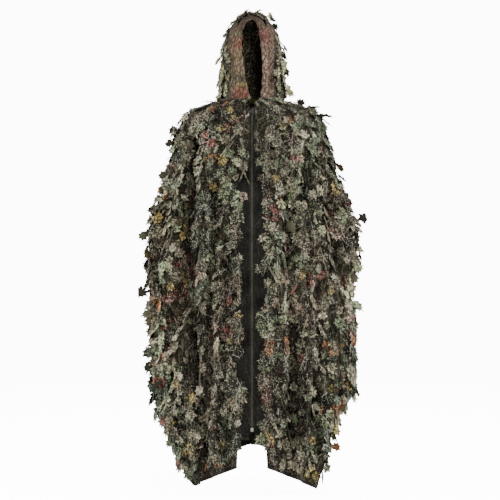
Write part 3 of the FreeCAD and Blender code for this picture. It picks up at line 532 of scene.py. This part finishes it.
def camo_material(name, shade=1.0, inner_shade=0.28):
    """Base cloth: near-black brown with muted greens and browns. shade multiplies the outside, and below 1 it is
    painted shade; inner_shade multiplies the inside, by default darker, and above 1 it is painted light.
    """
    n = Nodes(name)
    base = n.ramp(
        n.noise(11.0, 4.0, 0.65),
        [(0.30, "12100b"), (0.42, "231f16"), (0.52, "312f22"), (0.60, "3a2d20"), (0.72, "46472f")],
    )
    result = print_of(n, base, colour("060504"), colour("77735f"))
    behind = n.add("ShaderNodeNewGeometry").outputs["Backfacing"]
    inner = n.mix(1.0, result, [inner_shade] * 3 + [1.0], "MULTIPLY")
    result = n.mix(behind, n.mix(1.0, result, [shade] * 3 + [1.0], "MULTIPLY"), inner)
    n.weave(800.0)
    return n.finish(result)


def bark_material():
    n = Nodes("bark_print")
    place = n.stretch((1.0, 1.0, 0.45))
    base = n.ramp(
        n.noise(240.0, 5.0, 0.75, place),
        [(0.38, "130d0a"), (0.47, "3c2d24"), (0.54, "6a5647"), (0.64, "b5a28c")],
    )
    tint = n.add("ShaderNodeAttribute", attribute_name="tint")
    result = n.mix(tint.outputs["Alpha"], base, n.mix(0.3, tint.outputs["Color"], base))
    gaps = n.ramp(n.cracks(95.0, n.stretch((1.0, 1.0, 0.5))), [(0.0, 0.9), (0.16, 0.0)])
    result = n.mix(gaps, result, colour("231812"))
    n.weave(800.0)
    return n.finish(result)


def tape_material(name, code, scale=1400.0):
    n = Nodes(name)
    base = colour(code)
    light = [min(c * 1.8, 1.0) for c in base[:3]] + [1.0]
    result = n.mix(n.ramp(n.noise(120.0, 3.0), [(0.35, 0.0), (0.65, 1.0)]), base, light)
    n.weave(scale, 0.5)
    return n.finish(result)


def metal_material():
    n = Nodes("dark_enamel")
    wear = n.ramp(n.noise(700.0, 4.0, 0.7), [(0.58, 0.0), (0.72, 1.0)])
    result = n.mix(wear, colour("2a2a26"), colour("6f6e68"))
    n.surface.inputs["Metallic"].default_value = 0.65
    n.surface.inputs["Roughness"].default_value = 0.42
    n.bump(n.noise(900.0, 2.0), 0.15, 0.0002)
    return n.finish(result)


def nylon_material(name, code):
    n = Nodes(name)
    base = colour(code)
    result = n.mix(n.noise(260.0, 2.0), base, [c * 1.5 for c in base[:3]] + [1.0])
    n.surface.inputs["Roughness"].default_value = 0.45
    n.bump(n.noise(1200.0, 2.0), 0.1, 0.0002)
    return n.finish(result)


LEAF = leaf_material()
CAMO = camo_material("camo_print")
# painted shade: the base cloth darkened to a fifth, for the bare band beside the zip
PAINTED_SHADE_BAND = camo_material("band_print_painted_shade", 0.20)
# painted shade: the base cloth darkened to 0.22, for the facings behind the zip
PAINTED_SHADE_FACING = camo_material("facing_print_painted_shade", 0.22)
# painted light: the inside of the hood cloth is brightened 2.6 times
HOOD_CAMO_PAINTED_LIGHT_INSIDE = camo_material("hood_print_painted_light_inside", 1.0, 2.6)
BARK = bark_material()
HEM = tape_material("hem_tape", "1c1a14")
TAPE = tape_material("zip_tape", "191812")
COIL = nylon_material("zip_nylon", "47453c")
BOX = nylon_material("zip_moulding", "8a887c")
METAL = metal_material()

# ---------------------------------------------------------------- leaves

GROUNDS = [  # sRGB, brown through grey-tan to green
    colour(code)[:3]
    for code in ("33291e", "4a3d2c", "5f5c49", "7d7861", "8f866f", "727c59", "545f45", "3a4134")
]
ACCENTS = [colour(code)[:3] for code in ("80522f", "8a7842", "6d3a33", "8a7665")]
GROUNDS, ACCENTS = np.array(GROUNDS), np.array(ACCENTS)
patch_waves = rng.normal(size=(9, 3)) * 13.0
patch_phase = rng.uniform(0, 2 * np.pi, 9)


def leaf_tint(place):
    """The colour of a leaf: neighbours share a ground colour, and accents come in clusters. Painted shade darkens and
    lightens leaves in upright streaks, like shaded folds, darker near the middle and lighter towards the sides.
    """
    # painted shade: the field is stretched so it changes mostly across the cape, giving upright light and dark streaks
    # like shaded folds
    light = patches(place * np.array([2.6, 2.6, 0.6]) + 1.0)
    hue, accent = patches(place * 1.7 + 3.0), patches(place * 2.3 - 5.0)
    out = abs(place[0])
    # painted shade and light: leaves near the middle are darkened, leaves towards the sides lightened
    light = (0.16 + 1.2 * light) * (0.82 + 0.18 * smooth(out, 0.05, 0.12) + 0.35 * smooth(out, 0.20, 0.34))
    if accent > 0.72 and rng.random() < 0.6 or rng.random() < 0.04:
        tint = ACCENTS[int(patches(place * 1.3 + 9.0) * 3.999)]
    else:
        where = np.clip(hue * 1.3 - 0.15 + rng.normal(0, 0.16), 0, 1) * (len(GROUNDS) - 1)
        first = min(int(where), len(GROUNDS) - 2)
        tint = GROUNDS[first] + (GROUNDS[first + 1] - GROUNDS[first]) * (where - first)
    return tint * math.exp(np.clip(rng.normal(0, 0.32), -0.8, 0.42)) * light


def patches(points):
    """A slow random field over space, about 0 to 1, that groups leaves by ground colour and accents, and into the light
    and dark places of painted shade.
    """
    value = np.sin(points @ patch_waves.T + patch_phase).sum(-1) / 4.2
    return np.clip(0.5 + 0.5 * value, 0.0, 1.0)


def leaf_outline(kind):
    """A jagged leaf as points round its rim, in leaf lengths: x across, y down from the stem."""
    tips = [7, 9, 5, 7, 9, 6][kind]
    long = [1.0, 1.25, 0.9, 1.1, 1.35, 1.0][kind]
    angles, radii = [], []
    for k in range(tips):
        middle = 2 * np.pi * (k + 0.5) / tips
        reach = 0.50 * rng.uniform(0.82, 1.12)
        step = np.pi / tips
        angles += [middle - step, middle - step * 0.45, middle, middle + step * 0.5]
        radii += [0.31 * rng.uniform(0.85, 1.15), reach * 0.80, reach, reach * 0.76]
    angles, radii = np.array(angles), np.array(radii)
    return np.stack([radii * np.sin(angles) * 0.95, 0.48 - radii * long * np.cos(angles)], -1)


OUTLINES = [leaf_outline(kind) for kind in range(6)]


class Leaves:
    """Gathers leaf meshes for one visible piece."""

    def __init__(self):
        self.points, self.faces, self.tints, self.count = [], [], [], 0

    def add(self, base, across, down, out, length, turn, tilt, curl, kind, tint):
        rim = OUTLINES[kind]
        flat = np.vstack([[0.0, 0.48], rim]) * length
        c, s = math.cos(turn), math.sin(turn)
        x, y = flat[:, 0] * c + flat[:, 1] * s, -flat[:, 0] * s + flat[:, 1] * c
        lift = y * math.tan(tilt) + curl * (flat[:, 0] ** 2) / length + 0.35 * curl * flat[:, 1] ** 2 / length
        self.points.append(base + np.outer(x, across) + np.outer(y, down) + np.outer(lift, out))
        rim_count = len(rim)
        for k in range(rim_count):
            self.faces.append(
                (self.count, self.count + 1 + k, self.count + 1 + (k + 1) % rim_count)
            )
        self.tints.append(np.tile(tint, (rim_count + 1, 1)))
        self.count += rim_count + 1

    def make(self, name):
        points = np.vstack(self.points)
        low, high = np.array(cad_low), np.array(cad_high)
        room = (high - low) * 0.028 + 0.009
        points = np.clip(points, low - room, high + room)
        made = new_mesh(name, points, self.faces, False)
        tints = np.hstack([np.vstack(self.tints), np.ones((len(points), 1))])
        layer = made.data.attributes.new("tint", "FLOAT_COLOR", "POINT")
        layer.data.foreach_set("color", tints.astype(np.float32).ravel())
        made.data.materials.append(LEAF)
        return made


def sample(grid, r, c):
    """A value of a grid at fractional rows and columns."""
    r0 = np.clip(np.floor(r).astype(int), 0, grid.shape[0] - 2)
    c0 = np.clip(np.floor(c).astype(int), 0, grid.shape[1] - 2)
    fr, fc = (r - r0)[:, None], (c - c0)[:, None]
    top = grid[r0, c0] * (1 - fc) + grid[r0, c0 + 1] * fc
    low = grid[r0 + 1, c0] * (1 - fc) + grid[r0 + 1, c0 + 1] * fc
    return top * (1 - fr) + low * fr


def cover(leaves, points, keep=None, pitch=0.027, length=(0.032, 0.050), lift=0.0015, shade=1.0, wild=1.0, dye=None):
    """Sews rows of leaves onto a grid of cloth; keep(place) says where leaves are wanted."""
    normal = normals_of(points)
    down = np.gradient(points, axis=0)
    down /= np.maximum(np.linalg.norm(down, axis=-1, keepdims=True), 1e-9)
    rows, columns = points.shape[:2]
    drop_line = np.linalg.norm(np.diff(points, axis=0), axis=-1).sum(0).mean()
    row_count = max(int(drop_line / pitch), 2)
    for k in range(row_count):
        r = (k + 0.35) / (row_count + 0.8) * (rows - 1)
        line = sample(points, np.full(columns, r), np.arange(columns, dtype=float))
        steps = np.append(0.0, np.cumsum(np.linalg.norm(np.diff(line, axis=0), axis=-1)))
        places = np.arange(rng.uniform(0.2, 0.8) * pitch, steps[-1], pitch)
        if not len(places):
            places = np.array([steps[-1] / 2])
        places = np.clip(places + rng.normal(0, pitch * 0.18, len(places)), 0, steps[-1])
        c = np.interp(places, steps, np.arange(columns))
        rs = np.clip(r + rng.normal(0, 0.14, len(c)) * (rows - 1) / row_count, 0, rows - 1)
        bases, outs, downs = sample(points, rs, c), sample(normal, rs, c), sample(down, rs, c)
        for base, out, fall in zip(bases, outs, downs):
            if keep is not None and not keep(base):
                continue
            out = out / np.linalg.norm(out)
            fall = fall / np.linalg.norm(fall)
            across = np.cross(fall, out)
            tint = leaf_tint(base) * shade
            if dye is not None:
                tint = dye(base, tint)
            turn = rng.normal(0, 0.55)
            tilt = abs(rng.normal(0.10, 0.20)) * wild
            size, twist = rng.uniform(*length), 0.0
            if rng.random() < 0.17:
                tilt, turn = rng.uniform(0.1, 0.6) * wild, rng.normal(0, 0.7)
                twist = rng.uniform(-1.4, 1.4) * wild
            raised = lift + rng.uniform(0, 0.003) + 0.26 * size * abs(math.sin(twist))
            c_twist, s_twist = math.cos(twist), math.sin(twist)
            leaves.add(
                base + out * raised - fall * 0.006,
                across * c_twist + out * s_twist,
                fall,
                out * c_twist - across * s_twist,
                size,
                turn,
                tilt,
                rng.normal(0.0, 0.25),
                rng.integers(len(OUTLINES)),
                tint,
            )


# ---------------------------------------------------------------- the cape


def outward(points):
    """The same grid with its columns in the order that makes its normals point away from the middle."""
    away = points * np.array([1.0, 1.0, 0.0])
    if (normals_of(points) * away).sum() < 0:
        return points[:, ::-1]
    return points


def hem_band(name, points, columns):
    """The bound edge under a panel's hem."""
    last, before = points[-1, columns], points[-3, columns]
    fall = last - before
    fall /= np.linalg.norm(fall, axis=-1, keepdims=True)
    return band(name, np.stack([last - fall * 0.002, last + fall * 0.0045, last + fall * 0.009]), 0.0022, HEM)


def at_front(made):
    """Bakes the piece's transform into its mesh."""
    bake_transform(made)


def clear_of_zip(made, side):
    """Keeps leaves off the run of the slider."""
    points = np.array([v.co for v in made.data.vertices])
    near = np.maximum(points[:, 0] * side, 0.0070)
    low = (points[:, 1] < 0) & (points[:, 2] < -0.005)
    points[:, 0] = np.where(low, near * side, points[:, 0])
    made.data.vertices.foreach_set("co", points.astype(np.float32).ravel())
    made.data.update()


for side, word in SIDES:
    # front: one cloth over the folding edge and the fixed panel
    front = outward(cape_grid(front_angle, front_hem_at, FRONT_TOP, FRONT_SHARES, 74, side))
    panel = cloth(f"front_cloth_{word}", front, CAMO)
    panel.data.materials.append(PAINTED_SHADE_BAND)
    # painted shade: faces of the bare band near the zip, lower than 0.20 m, take the darkened cloth
    for face in panel.data.polygons:
        if abs(face.center.x) < 0.050 and face.center.z < -0.20:
            face.material_index = 1
    beside = front if side > 0 else front[:, ::-1]
    notch = hem_band(f"hem_notch_{word}", outward(beside[:, :5]), slice(None))
    lobe = hem_band(f"hem_front_{word}", outward(beside[:, 5:]), slice(None))
    edge_leaves, panel_leaves = Leaves(), Leaves()
    columns = len(EDGE_XS) + 1

    def off_band(place):
        drop, x = -place[2], abs(place[0])
        return x > (0.019 if drop < 0.27 else 0.046 + 0.006 * math.sin(31 * drop + side))

    cover(edge_leaves, outward(beside[:, :columns]), keep=off_band)
    cover(panel_leaves, outward(beside[:, columns - 1 :]))
    edge_leaf = edge_leaves.make(f"leaves_edge_{word}")
    panel_leaf = panel_leaves.make(f"leaves_front_{word}")
    clear_of_zip(edge_leaf, side)
    for made, stood_for in (
        (panel, [f"front_panel_{word}", f"front_edge_{word}"]),
        (notch, []),
        (lobe, [f"hem_binding_front_{word}", f"hem_binding_edge_{word}"]),
        (edge_leaf, [f"leaf_rows_edge_{word}"]),
        (panel_leaf, [f"leaf_rows_front_{word}"]),
    ):
        at_front(made)
        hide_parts(*stood_for)

    # yoke
    yoke = outward(cape_grid(yoke_angle, lambda s: 0 * s + YOKE_HEM, 0.0, np.linspace(0, 1, 20), 6, side))
    yoke_piece = cloth(f"yoke_cloth_{word}", yoke, CAMO)
    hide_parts(f"front_yoke_{word}")
    yoke_leaves = Leaves()
    cover(yoke_leaves, yoke, pitch=0.018, length=(0.026, 0.038), lift=0.002)
    yoke_leaf = yoke_leaves.make(f"leaves_yoke_{word}")
    clear_of_zip(yoke_leaf, side)
    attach(yoke_leaf, "cape")
    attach(yoke_piece, "cape")

    # sleeves
    for rear, place in ((False, "front"), (True, "back")):
        points = outward(
            cape_grid(sleeve_angle(rear), sleeve_hem(rear), 0.0, np.linspace(0, 1, 30), 74, side)
        )
        sleeve = cloth(f"sleeve_cloth_{place}_{word}", points, CAMO)
        leaves = Leaves()
        cover(leaves, points)
        leaf = leaves.make(f"leaves_sleeve_{place}_{word}")
        hem = hem_band(f"hem_sleeve_{place}_{word}", points, slice(None))
        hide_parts(f"sleeve_{place}_{word}")
        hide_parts(f"leaf_rows_sleeve_{place}_{word}")
        for made in (sleeve, leaf, hem):
            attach(made, "cape")
    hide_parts(f"hem_binding_sleeve_{word}")

    # back
    points = outward(cape_grid(back_angle, back_hem, 0.0, np.linspace(0, 1, 34), 70, side))
    back = cloth(f"back_cloth_{word}", points, CAMO)
    leaves = Leaves()
    cover(leaves, points)
    leaf = leaves.make(f"leaves_back_{word}")
    hem = hem_band(f"hem_back_{word}", points, slice(None))
    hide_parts(f"back_panel_{word}")
    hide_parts(f"leaf_rows_back_{word}")
    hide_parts(f"hem_binding_back_{word}")
    for made in (back, leaf, hem):
        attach(made, "cape")

# ---------------------------------------------------------------- hood


def hood_rings(rise, grow):
    share = np.clip(rise / (HOOD_RISE + grow), 0.0, 1.0)
    half = (HOOD_HALF + grow) * np.sqrt(1 - share**3)
    depth = HOOD_DEPTH + grow
    return half, depth * np.sqrt(1 - share**5), depth * np.sqrt(1 - share**3)


def hood_top(x, grow=0.0):
    return (1 - (x / (HOOD_HALF + grow)) ** 2) ** (1 / 3) * (HOOD_RISE + grow)


def hood_face(x, rise, rear, grow=0.0):
    """A point of the hood's front or rear face at an x and a rise."""
    half, front, back = hood_rings(rise, grow)
    flat = np.sqrt(np.maximum(1 - (x / np.maximum(half, 1e-6)) ** 2, 0.0))
    y = back * flat if rear else -front * flat
    return np.stack([x + 0 * rise, y, rise + 0 * x], -1)


def hood_round(rise, angle, grow):
    half, front, back = hood_rings(rise, grow)
    s, c = np.sin(np.radians(angle)), np.cos(np.radians(angle))
    return np.stack([half * s, -np.where(c > 0, front, back) * c, rise + 0 * s], -1)


def on_hood(made):
    """Bakes the piece's transform into its mesh."""
    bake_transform(made)


CASING_TINTS = {  # side: (rise, sRGB colour, strength) up that side
    -1: [
        (0.000, "52281f", 0.85),
        (0.030, "5c2a20", 0.9),
        (0.050, "66602c", 0.7),
        (0.056, "22301f", 0.9),
        (0.074, "2c3620", 0.9),
        (0.100, "54492e", 0.7),
        (0.155, "5c5032", 0.7),
        (0.176, "5e3820", 0.85),
        (0.202, "562e1e", 0.85),
        (0.222, "343f2a", 0.85),
        (0.250, "2b271b", 0.9),
        (0.300, "1b150e", 1.0),
    ],
    1: [
        (0.000, "33261d", 0.6),
        (0.060, "57453a", 0.35),
        (0.170, "57453a", 0.35),
        (0.190, "553a30", 0.6),
        (0.208, "4a1c1b", 0.95),
        (0.232, "4c2420", 0.8),
        (0.250, "2e2a1f", 0.9),
        (0.300, "1b150e", 1.0),
    ],
}


def paint_edge(made):
    """Gives the bark print round the face opening its run of colours, and painted shade on the hood cloth just outside
    the casing.
    """
    tints = []
    for v in made.data.vertices:
        table = CASING_TINTS[1 if v.co.x > 0 else -1]
        heights = [row[0] for row in table]
        shades = np.array([colour(row[1])[:3] + [row[2]] for row in table])
        tint = [np.interp(v.co.z, heights, shades[:, k]) for k in range(4)]
        # painted shade: points more than 0.056 m out, beside the casing, are darkened to 0.45
        if abs(v.co.x) > 0.056:
            tint = [c * 0.45 for c in tint[:3]] + [0.85]
        tints.append(tint)
    layer = made.data.attributes.new("tint", "FLOAT_COLOR", "POINT")
    layer.data.foreach_set("color", np.array(tints, np.float32).ravel())


def beside_casing(place):
    return place[1] < -0.02 and abs(place[0]) < 0.075 and place[2] < 0.262


def clear_of_casing(place):
    return place[1] > -0.02 or abs(place[0]) > 0.079 - 0.05 * max(place[2] - 0.21, 0.0)


def hood_dye(place, tint):
    """The leaves low on the sides of the hood are a pale yellow-green."""
    amount = 0.65 * float(smooth(abs(place[0]), 0.078, 0.096) * (1 - smooth(place[2], 0.15, 0.22)))
    return tint * (1 - amount) + HOOD_PALE * amount * rng.uniform(0.6, 1.2)


def facing_out(points):
    """The same grid with its normals away from the middle of the hood."""
    away = points - np.array([0.0, 0.0, 0.12])
    return points[:, ::-1] if (normals_of(points) * away).sum() < 0 else points


HOOD_PALE = np.array(colour("a2a474")[:3])
HOOD_BASE = -0.0005
side_top = float(hood_top(np.array(CROWN_HALF - 0.001)))
for side, word in SIDES:
    rises = np.linspace(HOOD_BASE, side_top, 26)[:, None]
    starts = np.degrees(np.arcsin(np.minimum((CROWN_HALF - 0.003) / hood_rings(rises, 0.0)[0], 0.999)))
    angles = starts + (180.0 - 2 * starts) * np.linspace(0, 1, 26)[None, :]
    ripple = 0.0028 * np.sin(np.radians(angles * 6 + side * 40) + 20 * rises) * np.sin(np.pi * np.linspace(0, 1, 26))
    points = hood_round(rises, angles, ripple)
    points[..., 0] *= side
    points = outward(points[::-1])
    hood_side = cloth(f"hood_cloth_{word}", points, HOOD_CAMO_PAINTED_LIGHT_INSIDE)
    hood_side.data.materials.append(BARK)
    for face in hood_side.data.polygons:
        if beside_casing(face.center):
            face.material_index = 1
    paint_edge(hood_side)
    leaves = Leaves()
    cover(leaves, points, keep=clear_of_casing, pitch=0.020, length=(0.024, 0.038), lift=0.001, wild=0.75, dye=hood_dye)
    leaf = leaves.make(f"leaves_hood_{word}")
    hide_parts(f"hood_side_{word}")
    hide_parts(f"leaf_rows_hood_{word}")
    on_hood(hood_side)
    on_hood(leaf)

xs = np.linspace(-CROWN_HALF, CROWN_HALF, 15)[None, :]
rear_shares = np.sin(np.linspace(math.asin(HOOD_BASE / HOOD_RISE), np.pi / 2, 26))[:, None]
front_shares = np.linspace(0.999, BROW_SHARE, 6)[:, None]
rear_part = hood_face(xs, rear_shares * hood_top(xs), True)
front_part = hood_face(xs, front_shares * hood_top(xs), False)
crown = facing_out(np.vstack([rear_part, front_part])[::-1])
brow = facing_out(front_part)
crown_cloth = cloth("hood_cloth_centre", crown, HOOD_CAMO_PAINTED_LIGHT_INSIDE)
leaves = Leaves()
cover(leaves, crown, pitch=0.015, length=(0.022, 0.034), lift=0.0, wild=0.45)
cover(leaves, brow, pitch=0.011, length=(0.020, 0.030), lift=0.002, shade=0.8, wild=0.5)
crown_leaf = leaves.make("leaves_hood_centre")
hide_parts("hood_centre_panel")
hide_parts("leaf_rows_hood_centre")
on_hood(crown_cloth)
on_hood(crown_leaf)

# casing round the face opening; its cloth leans to the right at the chin
top_rise = (BROW_SHARE - 0.004) * float(hood_top(np.array(0.0)))
CASING = np.array(  # outer x, inner x on the right, inner x on the left, outer rise, inner rise
    [
        (0.0530, 0.027, 0.006, -0.0005, 0.0025),
        (0.0530, 0.034, 0.018, 0.050, 0.045),
        (0.0530, 0.036, 0.027, 0.100, 0.100),
        (0.0530, 0.033, 0.033, 0.160, 0.155),
        (0.0520, 0.027, 0.035, 0.215, 0.205),
        (0.0470, 0.022, 0.030, 0.256, 0.242),
        (0.0330, 0.015, 0.020, 0.279, 0.262),
        (0.0170, 0.007, 0.010, 0.288, 0.270),
        (0.0, 0.0, 0.0, top_rise, top_rise - 0.0155),
    ]
)
path = np.vstack([CASING[:, [0, 2, 3, 4]] * [-1, -1, 1, 1], CASING[-2::-1][:, [0, 1, 3, 4]]])
knots = np.append(0.0, np.cumsum(np.linalg.norm(np.diff(path[:, [0, 2]], axis=0), axis=1)))
steps = np.linspace(0, knots[-1], 110)
path = np.stack([np.interp(steps, knots, path[:, k]) for k in range(4)], -1)
for _ in range(3):
    path[1:-1] = (path[:-2] + 2 * path[1:-1] + path[2:]) / 4
rows = []
for share, grow in ((0.0, 0.0012), (0.12, 0.0045), (0.45, 0.0060), (0.8, 0.0052), (0.97, 0.0030), (1.0, 0.0), (0.9, -0.002), (0.3, -0.003)):
    x = path[:, 0] + (path[:, 1] + 0.0013 * np.sin(steps * 150) - path[:, 0]) * share
    rise = path[:, 2] + (path[:, 3] - path[:, 2]) * share
    crease = (0.0012 * np.sin(steps * 260 + share * 5) + 0.0016 * np.sin(steps * 97 - share * 9)) * (share < 0.99)
    rows.append(hood_face(x, rise, False, 0.0) + np.outer(grow + crease, [0.0, -1.0, 0.0]))
casing_points = np.stack(rows, 1)
casing = cloth("hood_casing", casing_points, BARK)
paint_edge(casing)
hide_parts("hood_edge_casing")
on_hood(casing)

# ---------------------------------------------------------------- tapes, facings and the zip


def front_strip(name, near, far, drops, inset, thick, material, side, columns=4):
    """A band that follows the front beside the zip, inset from the cloth's outer face."""
    xs = np.linspace(near, far, columns)[None, :]
    drop = np.asarray(drops)[:, None]
    angle = angle_at(drop, xs)
    points = cape_point(drop, angle) - cape_normal(drop, angle) * inset
    points[..., 0] *= side
    made = band(name, outward(points), thick, material)
    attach(made, f"front_{'left' if side > 0 else 'right'}")
    return made, points


ZIP_WAY = np.array([0.0, -math.sin(math.radians(4.4)), -math.cos(math.radians(4.4))])
ZIP_OUT = np.array([0.0, -math.cos(math.radians(4.4)), math.sin(math.radians(4.4))])
ZIP_START = np.array([0.0, -THROAT_DEPTH + ZIP_INSET, 0.0])
TEETH_END, TOOTH_PITCH = 1.118, 0.0024
for side, word in SIDES:
    tape_top = ZIP_TOP if side > 0 else 0.0555
    tape, points = front_strip(
        f"zip_tape_cloth_{word}", 0.0033, 0.0173, np.linspace(tape_top, ZIP_END, 60), ZIP_INSET, 0.0008, TAPE, side
    )
    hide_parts(f"zip_tape_{word}")
    # the facing takes the cloth darkened as painted shade
    facing, points = front_strip(
        f"zip_facing_cloth_{word}", 0.0085, 0.0485, np.linspace(ZIP_TOP, ZIP_END, 60), 0.0039, 0.0010, PAINTED_SHADE_FACING, side
    )
    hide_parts(f"zip_facing_{word}")
    teeth_top = 0.0335 if side > 0 else 0.0590
    points, faces = [], []
    offset = TOOTH_PITCH / 2 if side > 0 else 0.0
    for at in np.arange(teeth_top + offset, TEETH_END, TOOTH_PITCH):
        centre = ZIP_START + ZIP_WAY * at
        first = len(points)
        for x, half in ((0.0010, 0.00055), (0.0018, 0.0009), (0.0032, 0.0006)):
            for out in (-0.0012, 0.0012):
                for along in (-half, half):
                    points.append(centre + ZIP_WAY * along + ZIP_OUT * out + [x * side, 0, 0])
        for k in (0, 4):
            faces += [
                [first + k, first + k + 1, first + k + 5, first + k + 4],
                [first + k + 2, first + k + 6, first + k + 7, first + k + 3],
                [first + k, first + k + 4, first + k + 6, first + k + 2],
                [first + k + 1, first + k + 3, first + k + 7, first + k + 5],
            ]
        faces += [[first, first + 2, first + 3, first + 1], [first + 8, first + 9, first + 11, first + 10]]
    teeth = new_mesh(f"zip_teeth_{word}", points, faces, False)
    teeth.data.materials.append(COIL)
    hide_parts(f"zip_coil_{word}")
    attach(teeth, f"front_{word}")

neck_end = float(angle_at(np.array(0.0), seam_x(0.0))) + 6.0
angles = np.linspace(neck_end, 360.0 - neck_end, 70)[None, :]
drop = np.array([0.001, 0.0065, 0.012])[:, None]
neck_points = cape_point(drop, angles) - cape_normal(drop, angles) * 0.0038
neck = band("neck_tape_cloth", outward(neck_points), 0.0008, TAPE)
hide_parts("neck_tape")
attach(neck, "cape")

for side, word in SIDES:
    for rear in (False, True):
        drop = np.linspace(HAND_TOP, HAND_TOP + HAND_LENGTH, 30)[:, None]
        inset = np.array([1.75, 0.14])[None, :]
        angle = 90.0 - hand_gap(drop) - inset
        angle = 180.0 - angle if rear else angle
        lift = folds(drop + 0 * angle, angle, side)[..., None]
        points = cape_point(drop, angle) + cape_normal(drop, angle) * (lift - 0.0030)
        points[..., 0] *= side
        made = band(f"hand_opening_{'rear' if rear else 'fore'}_{word}", outward(points), 0.0018, HEM)
        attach(made, "cape")
    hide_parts(f"hand_opening_binding_{word}")

low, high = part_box("hanging_loop")
centre, reach = (low + high) / 2, (high.x - low.x) / 2
turns = np.linspace(0, np.pi, 40)[:, None]
width = np.linspace(low.y, high.y, 3)[None, :]
loop_points = np.stack(
    [
        (reach - 0.0008) * np.cos(turns) + 0 * width,
        width + 0 * turns,
        high.z - (reach - 0.0008) * np.sin(turns) + 0 * width,
    ],
    -1,
)
loop = band("hanging_loop_tape", loop_points, 0.0014, TAPE)
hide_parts("hanging_loop")
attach(loop, "cape")

for node, material in (
    ("zip_top_stop_left", METAL),
    ("zip_top_stop_right", METAL),
    ("slider_body", METAL),
    ("slider_bridge", METAL),
    ("pull_tab", METAL),
    ("insertion_pin", BOX),
    ("zip_retaining_box", BOX),
):
    made = frame["nodes"][node]
    made.data.materials.clear()
    made.data.materials.append(material)
    rounding = made.modifiers.new("rounded_edges", "BEVEL")
    rounding.width, rounding.segments = 0.00018, 2

# ---------------------------------------------------------------- floor, light and camera

bpy.ops.mesh.primitive_plane_add(size=30, location=(0, 0, cad_low.z - 0.02))
floor = bpy.context.object
floor.name = "floor"
pale = Nodes("pale_floor")
pale.surface.inputs["Base Color"].default_value = (0.92, 0.92, 0.92, 1)
seen = pale.add("ShaderNodeLightPath").outputs["Is Camera Ray"]
pale.surface.inputs["Emission Color"].default_value = (1, 1, 1, 1)
glow = pale.add("ShaderNodeMath", operation="MULTIPLY")
glow.inputs[1].default_value = 12.0
pale.link(seen, glow.inputs[0])
pale.link(glow.outputs[0], pale.surface.inputs["Emission Strength"])
floor.data.materials.append(pale.material)
floor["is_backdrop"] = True

world = bpy.data.worlds.new("studio")
bpy.context.scene.world = world
world.use_nodes = True
studio = world.node_tree
sky = studio.nodes["Background"]
sky.inputs["Color"].default_value = (1, 1, 1, 1)
sky.inputs["Strength"].default_value = 0.06
backdrop = studio.nodes.new("ShaderNodeBackground")
backdrop.inputs["Color"].default_value = (1, 1, 1, 1)
backdrop.inputs["Strength"].default_value = 12.0
rays, blend = studio.nodes.new("ShaderNodeLightPath"), studio.nodes.new("ShaderNodeMixShader")
studio.links.new(rays.outputs["Is Camera Ray"], blend.inputs[0])
studio.links.new(sky.outputs[0], blend.inputs[1])
studio.links.new(backdrop.outputs[0], blend.inputs[2])
studio.links.new(blend.outputs[0], studio.nodes["World Output"].inputs["Surface"])


def lamp(name, place, aim, size, power):
    data = bpy.data.lights.new(name, "AREA")
    data.size, data.energy = size, power
    made = bpy.data.objects.new(name, data)
    bpy.context.scene.collection.objects.link(made)
    made.location = place
    way = Vector(aim) - Vector(place)
    made.rotation_euler = way.to_track_quat("-Z", "Y").to_euler()
    made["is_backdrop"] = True


lamp("key", (3.0, -1.1, 0.6), (0, 0, -0.5), 1.0, 280)
lamp("rim", (-3.0, -0.8, 0.4), (0, 0, -0.5), 1.0, 240)
lamp("front", (0.6, -4.5, 1.4), (0, 0, -0.4), 0.8, 80)
lamp("back", (0.0, 3.6, 1.0), (0, 0, -0.4), 1.2, 110)
lamp("top", (0.0, -0.8, 3.0), (0, 0, -0.3), 1.2, 40)

VIEW_HEIGHT, VIEW_DISTANCE = 1.70, 6.0
camera_data = bpy.data.cameras.new("front")
camera_data.sensor_width = 36.0
camera_data.lens = 36.0 * (VIEW_DISTANCE - 0.13) / VIEW_HEIGHT
camera = bpy.data.objects.new("front", camera_data)
bpy.context.scene.collection.objects.link(camera)
camera.location = (-0.0068, -VIEW_DISTANCE, -0.517)
camera.rotation_euler = (math.radians(90), 0, 0)
bpy.context.scene.camera = camera

low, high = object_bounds()
